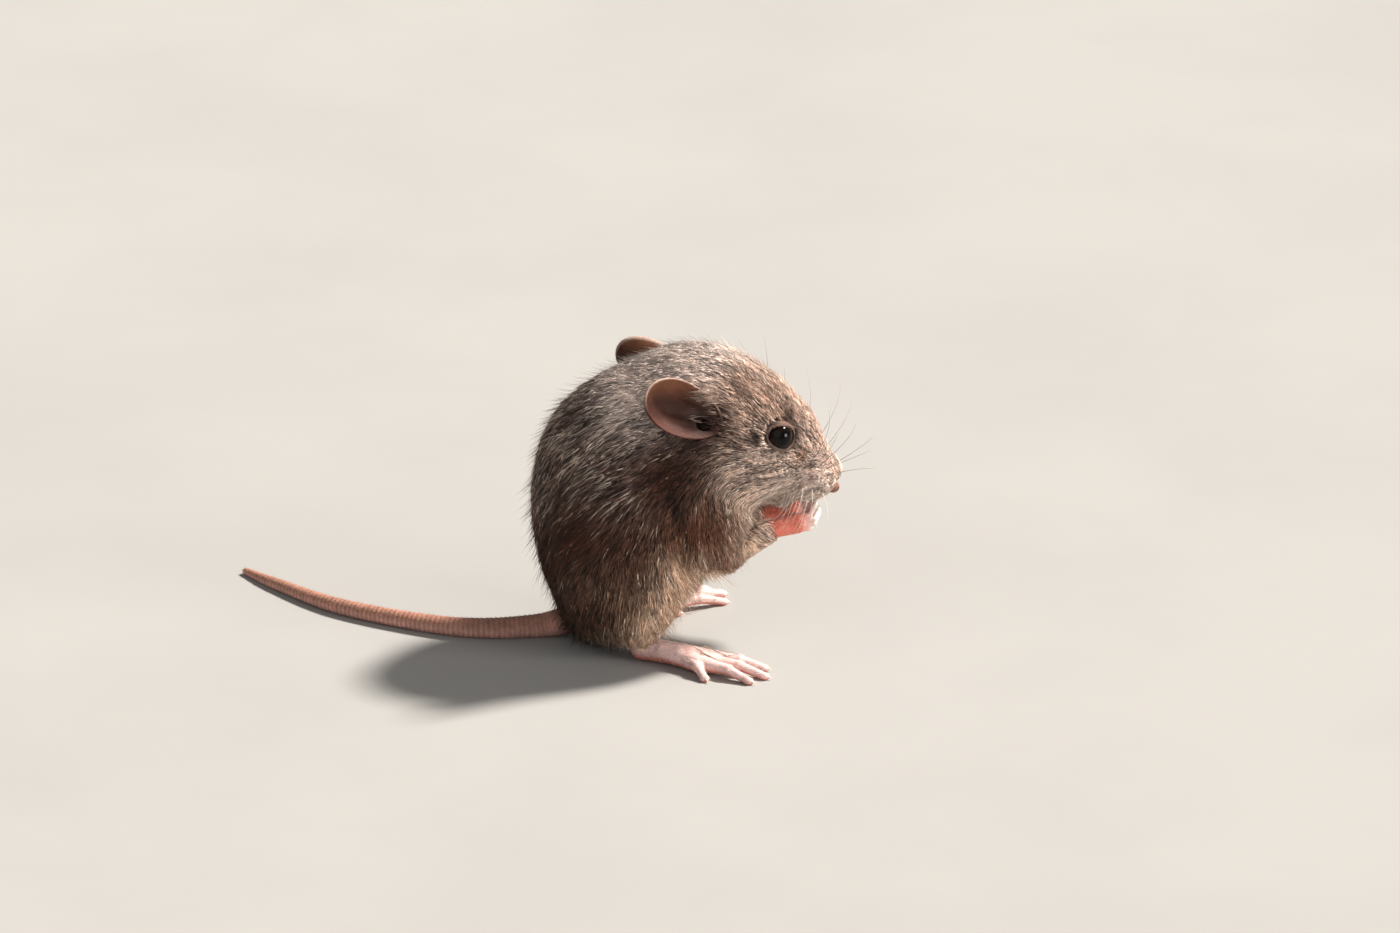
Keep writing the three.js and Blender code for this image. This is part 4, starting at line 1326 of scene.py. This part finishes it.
def clear_of_parts(stations):
    """Which tufts keep clear of the eyes and don't come through the ears."""
    clear = np.ones(len(stations[0]), dtype=bool)
    base, middle, tip = stations
    for place in (mix(base, middle, 0.5), middle, mix(middle, tip, 0.33), mix(middle, tip, 0.67), tip):
        for word, side in SIDES.items():
            clear &= np.linalg.norm(place - EYES[word], axis=1) > EYE_RADIUS + 0.22
            near = within(place, *around(from_head([aside(EAR_AT, side)]), 7))
            through = ear_field(to_head(place[near]), side) < 0.10
            clear[np.flatnonzero(near)[through]] = False
    return clear


def coat_height(roots, coat, own):
    """How high the coat's surface is over the skin at each root."""
    height = mix(np.full(len(roots), BODY_DEPTH), head_depth(to_head(roots)), coat.on_head)
    height = mix(height, ARM_DEPTH, smoothstep(0.8, 0.1, own["arm"]) * (1 - coat.on_head))
    return mix(height, SHANK_DEPTH, smoothstep(0.7, 0.0, own["shank"]) * (roots[:, 2] < 5))


def lift_fringes(stand, roots):
    """Makes the hairs before the ears, and at the front of the thigh and chest, stand up more."""
    beside_ear = np.zeros(len(roots))
    for side in SIDES.values():
        away = np.linalg.norm(aside(to_head(roots), side) - vec(*EAR_FRINGE_AT), axis=1)
        beside_ear = np.maximum(beside_ear, np.exp(-((away / EAR_FRINGE_REACH) ** 2)))
    stand = stand * (1 + EAR_FRINGE_LIFT * beside_ear)
    away = np.linalg.norm((folded(roots) - vec(*CHEST_FRINGE_AT)) / vec(*CHEST_FRINGE_REACH), axis=1)
    return stand * (1 + CHEST_FRINGE_LIFT * np.exp(-(away**2)))


def lay_coat(roots, on_head, stations, normals, widths, looks):
    """The coat's pieces: bands of tufts on each side of the body and of the head."""
    material = coat_material()
    clear = clear_of_parts(stations)
    side_of = np.where(roots[:, 1] < 0, "right", "left")
    head = on_head > 0.5
    for word in SIDES:
        for bands, mine, unwrap, order in (
            (BODY_BANDS, ~head, unwrap_body, roots[:, 2]),
            (HEAD_BANDS, head, unwrap_head, to_head(roots)[:, 2]),
        ):
            members = np.flatnonzero(clear & mine & (side_of == word))
            members = members[np.argsort(order[members], kind="stable")]
            for band, chosen in zip(bands, np.array_split(members, len(bands))):
                tuft_mesh(
                    f"coat_{band}_{word}",
                    [station[chosen] for station in stations],
                    normals[chosen],
                    widths[chosen],
                    {key: values[chosen] for key, values in looks.items()},
                    unwrap(roots[chosen]),
                    material,
                )


def make_coat(points, triangles, own):
    shares = bare_shares(points, own)
    bald = np.max([shares[name] for name in shares], axis=0)
    growth = Coat(points).length ** -0.8 * (1 - bald) ** 2
    roots = scatter(points, triangles, growth, LONG_TUFTS, TUFT_SPACING)
    normals = unit(gradient(furred_field, roots, 0.1))
    coat = Coat(roots)
    _, own_here = skin_field(roots, parts=True)
    height = coat_height(roots, coat, own_here)
    limb = np.maximum(smoothstep(0.8, 0.1, own_here["arm"]), smoothstep(1.2, 0.2, own_here["shank"]))
    guard = (rng.random(len(roots)) < GUARD_SHARE * (1 + coat.on_head)) & (limb < 0.2)
    length = coat.length * rng.uniform(0.75, 1.15, len(roots)) * np.where(guard, GUARD_LONGER, 1.0)
    length = length * mix(1.0, HEAD_LONGER, coat.on_head)
    calm = mix(0.75, 0.5, coat.on_head)[:, None]
    sway = (calm * rng.normal(0, 0.16, roots.shape)).astype(np.float32)
    swirl = calm * 0.16 * np.stack([waves(roots, 5, SWIRL_SEED + k) for k in range(3)], axis=1)
    lie = tangent(coat.lie + sway + swirl, normals)
    middle = roots + lie * (length * 0.5)[:, None]
    further = Coat(middle).lie + sway + swirl
    tip = middle + unit(lie + further) * (length * 0.5)[:, None]
    middle = move_to(furred_field, middle, height * rng.uniform(0.45, 0.75, len(roots)), *TUFT_REACH)
    stand = rng.uniform(0.50, 1.10, len(roots)) * mix(1.0, 0.95, coat.on_head)
    stand = stand * np.where(guard, rng.uniform(1.3, 2.3, len(roots)), 1.0)
    tip = move_to(furred_field, tip, height * lift_fringes(stand, roots), *TUFT_REACH)
    size = np.where(coat.on_head > 0.5, HEAD_LOCK, BODY_LOCK)[:, None].astype(np.float32)
    gathered = gather(tip, size, mix(BODY_DRAWN, HEAD_DRAWN, coat.on_head)[:, None], LOCK_SEED)
    cell = np.where(coat.on_head[:, None] > 0.5, vec(*HEAD_STREAK), vec(*BODY_STREAK))
    streak = streaks(roots, coat.lie, normals, cell)
    tip = np.where(guard[:, None], tip, gathered).astype(np.float32)
    for place in (middle, tip):
        place[:, 2] = np.maximum(place[:, 2], 0.12)
    base = roots - normals * ROOT_SUNK
    base[:, 2] = np.maximum(base[:, 2], 0.05)
    looks = hair_looks(coat, streak)
    widths = (TUFT_WIDTH[0] * coat.length + TUFT_WIDTH[1]) * rng.uniform(0.8, 1.2, len(roots))
    widths = widths * np.where(guard, 0.7, 1.0)
    lay_coat(roots, coat.on_head, (base, middle, tip), normals, widths, looks)


# Hairs that hang over an ear's cup: the span of its half length they are rooted in, how far across it
# they start, how far back and down they reach, how many, and their colours at the tip and the root.
EAR_FRINGES = [
    ((-0.78, -0.32), 1.02, (0.40, -0.40), 130, (0.66, 0.48, 0.38), (0.16, 0.10, 0.08)),
    ((-1.00, -0.80), 0.05, (0.28, -0.16), 90, (0.10, 0.045, 0.033), (0.03, 0.015, 0.012)),
]
FRINGE_SCATTER, FRINGE_WIDTH = 0.16, 0.050


def make_fringes():
    material = coat_material()
    for word, side in SIDES.items():
        parts = []
        for (first, last), across, (back, down), count, band, base in EAR_FRINGES:
            u = rng.uniform(first, last, count)
            v = across * np.sqrt(np.maximum(1.15 - np.minimum(u * u, 1.1) * (across > 1), 0.05))
            v = v + rng.normal(0, FRINGE_SCATTER, count)
            reach = rng.uniform(0.45, 1.1, count)
            sway = rng.normal(0, 0.10, count)
            root = over_ear(u, v, -0.1, side)
            middle = over_ear(u + (back * 0.45 + sway) * reach, v + down * 0.45 * reach, 0.50, side)
            tip = over_ear(u + (back + sway) * reach, v + down * reach, rng.uniform(0.2, 0.6, count), side)
            colours = {
                "band": everywhere(band, count),
                "base": everywhere(base, count),
                "tip": rng.uniform(0.0, 0.5, count),
                "tone": rng.uniform(0.20, 0.62, count),
            }
            parts.append((root, middle, tip, colours))
        stations = [np.concatenate([part[k] for part in parts]) for k in range(3)]
        looks = {key: np.concatenate([part[3][key] for part in parts]) for key in parts[0][3]}
        normals = np.repeat((aside(unit(EAR_OPENING), side) @ HEAD_AXES.T)[None], len(stations[0]), axis=0)
        widths = FRINGE_WIDTH * rng.uniform(0.7, 1.2, len(stations[0]))
        unwrapped = unwrap_head(stations[0])
        tuft_mesh(f"fringe_{word}", stations, normals, widths, looks, unwrapped, material)


# Short hair on the bare parts: how many, their length and width, how far they stand up, their colour,
# and how dark their tips are.
DOWN = {
    # The ear's down is dark with painted shade, as the ear's skin is.
    "ear": (3000, 0.42, 0.024, 0.18, (0.060, 0.028, 0.020), 0.30),
    "foot": (5000, 0.60, 0.045, 0.14, (0.86, 0.78, 0.72), 0.00),
    "paw": (2200, 0.38, 0.040, 0.12, (0.86, 0.76, 0.70), 0.00),
    "eyelid": (2600, 0.48, 0.036, 0.22, (0.330, 0.190, 0.135), 0.35),
    "tail": (7000, 0.62, 0.034, 0.13, (0.50, 0.38, 0.31), 0.40),
}


# The way it lies on the left: the paw's in the part's frame, the others in the head's.
DOWN_LIES = {"ear": unit(EAR_LENGTH), "eyelid": (-1, 0.15, 0.1), "paw": (0.95, -0.2, 0.1)}


def down_lie(part, roots):
    """The way the short hair lies on a bare part."""
    side = np.where(roots[:, 1] < 0, -1.0, 1.0)
    if part in DOWN_LIES:
        x, y, z = DOWN_LIES[part]
        lie = np.stack([x + 0 * side, y * side, z + 0 * side], axis=1)
        return lie if part == "paw" else lie @ HEAD_AXES.T
    if part == "tail":
        nearest = np.argmin(np.linalg.norm(roots[:, None] - TAIL_CURVE[None], axis=2), axis=1)
        nearest = np.clip(nearest, 0, len(TAIL_CURVE) - 2)
        return unit(TAIL_CURVE[nearest + 1] - TAIL_CURVE[nearest])
    lie = np.empty_like(roots)
    for word, value in SIDES.items():
        angle = math.radians(FEET[word][1] * value)
        lie[side == value] = vec(math.cos(angle), math.sin(angle), 0)
    return lie


def make_down(points, triangles, own):
    material = coat_material()
    shares = bare_shares(points, own)
    for part, (count, length, width, stand, colour, tip_dark) in DOWN.items():
        growth = shares[part] ** 2
        if part in ("foot", "paw"):
            growth = growth * smoothstep(0.05, 0.7, points[:, 2])
        roots = scatter(points, triangles, growth, count, DOWN_SPACING)
        normals = unit(gradient(skin_field, roots))
        lie = down_lie(part, roots).astype(np.float32) + rng.normal(0, 0.18, roots.shape).astype(np.float32)
        lengths = length * rng.uniform(0.6, 1.2, len(roots))
        heading = tangent(lie, normals) * np.cos(stand) + normals * math.sin(stand)
        tips = roots + heading * lengths[:, None]
        tips[:, 2] = np.maximum(tips[:, 2], 0.06)
        base = roots - normals * 0.04
        base[:, 2] = np.maximum(base[:, 2], 0.03)
        band = Coat(roots).band * 0.8 if part == "eyelid" else everywhere(colour, len(roots))
        looks = {
            "band": band,
            "base": band * 0.8,
            "tip": np.full(len(roots), tip_dark),
            "tone": rng.uniform(0.40, 0.58, len(roots)),
        }
        widths = width * rng.uniform(0.7, 1.1, len(roots))
        unwrap = unwrap_head if part in ("ear", "eyelid") else unwrap_body
        tuft_mesh(f"down_{part}", (base, tips), normals, widths, looks, unwrap(roots), material)


# ------------------------------------------------------------------ claws and whiskers

def tubes(name, lines, material, slot, sides):
    """Closed tapering tubes, one for each line of points with its radii and whether it is dark."""
    vertices, faces, strand, patch = [], [], [], []
    corner = patch_corners(unwrap_head(np.array([path[0] for path, _, _ in lines])))
    for line, (path, radii, dark) in enumerate(lines):
        first = len(vertices)
        heading = unit(np.gradient(path, axis=0))
        upright = vec(0, 0, 1) if abs(heading[0][2]) < 0.9 else vec(1, 0, 0)
        for i, (place, radius) in enumerate(zip(path, radii)):
            across = unit(np.cross(heading[i], upright))
            over = np.cross(across, heading[i])
            for k in range(sides):
                angle = 2 * math.pi * k / sides
                vertices.append(place + radius * (math.cos(angle) * across + math.sin(angle) * over))
                strand.append((i / (len(path) - 1), dark, 0.5))
                patch.append(corner[line] + np.array([k / (sides - 1), i / (len(path) - 1)]) * PATCH)
        for i in range(len(path) - 1):
            for k in range(sides):
                a, b = first + i * sides + k, first + i * sides + (k + 1) % sides
                faces.append((a, a + sides, b + sides, b))
        faces.append(tuple(first + k for k in range(sides)))
        end = first + (len(path) - 1) * sides
        faces.append(tuple(end + sides - 1 - k for k in range(sides)))
    corners, starts = face_rows(faces)
    made = mesh_object(name, np.array(vertices), corners, starts)
    paint(made, "strand", np.array(strand))
    if slot == "coat":
        lay_patches(made, np.array(patch), corners)
    made.data.materials.append(material)
    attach(made, "root")


def curve_through(start, bend, end, steps):
    t = np.linspace(0, 1, steps)[:, None]
    return (1 - t) ** 2 * start + 2 * t * (1 - t) * bend + t**2 * end


# The radii from the root to the tip, and the steps along each.
CLAW_STEPS, TOE_CLAW_RADII, FINGER_CLAW_RADII = 7, (0.24, 0.03), (0.17, 0.025)
WHISKER_STEPS, LIP_HAIR_STEPS, BROW_STEPS = 12, 8, 10
WHISKER_RADII, HAIR_RADII = (0.038, 0.008), (0.040, 0.010)


def make_claws():
    lines = []
    for word, side in SIDES.items():
        for _, _, knuckle, tip, claw, _ in foot_lines(word)[2]:
            start = mix(tip, knuckle, 0.06)
            bend = mix(tip, claw, 0.6) + vec(0, 0, 0.18)
            path = curve_through(start, bend, claw - vec(0, 0, 0.08), CLAW_STEPS)
            lines.append((path, np.linspace(*TOE_CLAW_RADII, CLAW_STEPS), 0.0))
        for _, knuckle, tip, claw in finger_lines(side):
            bend = mix(tip, claw, 0.7) + vec(0.12, 0, 0)
            path = curve_through(mix(tip, knuckle, 0.1), bend, claw, CLAW_STEPS)
            lines.append((path, np.linspace(*FINGER_CLAW_RADII, CLAW_STEPS), 0.0))
    tubes("claws", lines, claw_material(), "claw", 8)


WHISKERS_A_SIDE, LIP_HAIRS_A_SIDE = 13, 9
# How steeply each row of whiskers rises, and for each one over the eye its root, heading and length.
WHISKER_RISES = (0.85, 0.60, -0.35, -0.75)
BROW_WHISKERS = [((4.6, 4.6, 4.9), (-0.25, 0.45, 0.95), 7.5), ((3.4, 5.0, 4.8), (-0.5, 0.5, 0.8), 6.5)]


def make_whiskers():
    lines = []
    for side in SIDES.values():
        for i in range(WHISKERS_A_SIDE):
            row, place_in_row = i % 4, i // 4
            root = (13.2 - 1.0 * place_in_row, side * (2.3 + 0.42 * place_in_row), -0.9 - 0.62 * row)
            rise = WHISKER_RISES[row] + rng.uniform(-0.14, 0.14)
            heading = unit(vec(0.50 - 0.26 * place_in_row + rng.uniform(-0.1, 0.1), side * 0.62, rise))
            length = rng.uniform(11.5, 14.5) if row < 2 else rng.uniform(5.0, 7.0)
            end = vec(*root) + heading * length
            bend = vec(*root) + heading * length * 0.5 + vec(0.07, 0.03 * side, 0.09) * length
            droop = vec(-0.13, 0, -0.11) * length
            path = from_head(curve_through(vec(*root) - heading * 0.4, bend, end + droop, WHISKER_STEPS))
            lines.append((path, np.linspace(*WHISKER_RADII, WHISKER_STEPS), 1.0 if row < 2 else 0.0))
        for i in range(LIP_HAIRS_A_SIDE):
            root = vec(9.6 + 0.42 * i, side * (3.9 - 0.10 * i), -3.7 + 0.05 * i)
            along = unit(vec(rng.uniform(-0.35, 0.15), side * 0.22, -1.0)) * rng.uniform(3.0, 5.8)
            bend = root + along * 0.5 + vec(0.3, 0.35 * side, 0)
            path = from_head(curve_through(root, bend, root + along, LIP_HAIR_STEPS))
            lines.append((path, np.linspace(*HAIR_RADII, LIP_HAIR_STEPS), 0.0))
        for root, heading, length in BROW_WHISKERS:
            start, along = aside(root, side), unit(aside(heading, side))
            bend = start + along * length * 0.5 + vec(0.3, 0, 0.3)
            end = start + along * length + vec(-0.8, 0, -0.4)
            path = from_head(curve_through(start - along * 0.4, bend, end, BROW_STEPS))
            lines.append((path, np.linspace(*HAIR_RADII, BROW_STEPS), 1.0))
    tubes("whiskers", lines, whisker_material(), "coat", 5)


# ------------------------------------------------------------------ all of it


skin = make_skin()
skin_points = vertices_of(skin)
skin_faces = skin_triangles(skin)
_, skin_parts = skin_field(skin_points, parts=True)
make_coat(skin_points, skin_faces, skin_parts)
make_down(skin_points, skin_faces, skin_parts)
make_fringes()
for word in SIDES:
    make_eye(word)
make_claws()
make_whiskers()
make_stage()
make_camera()
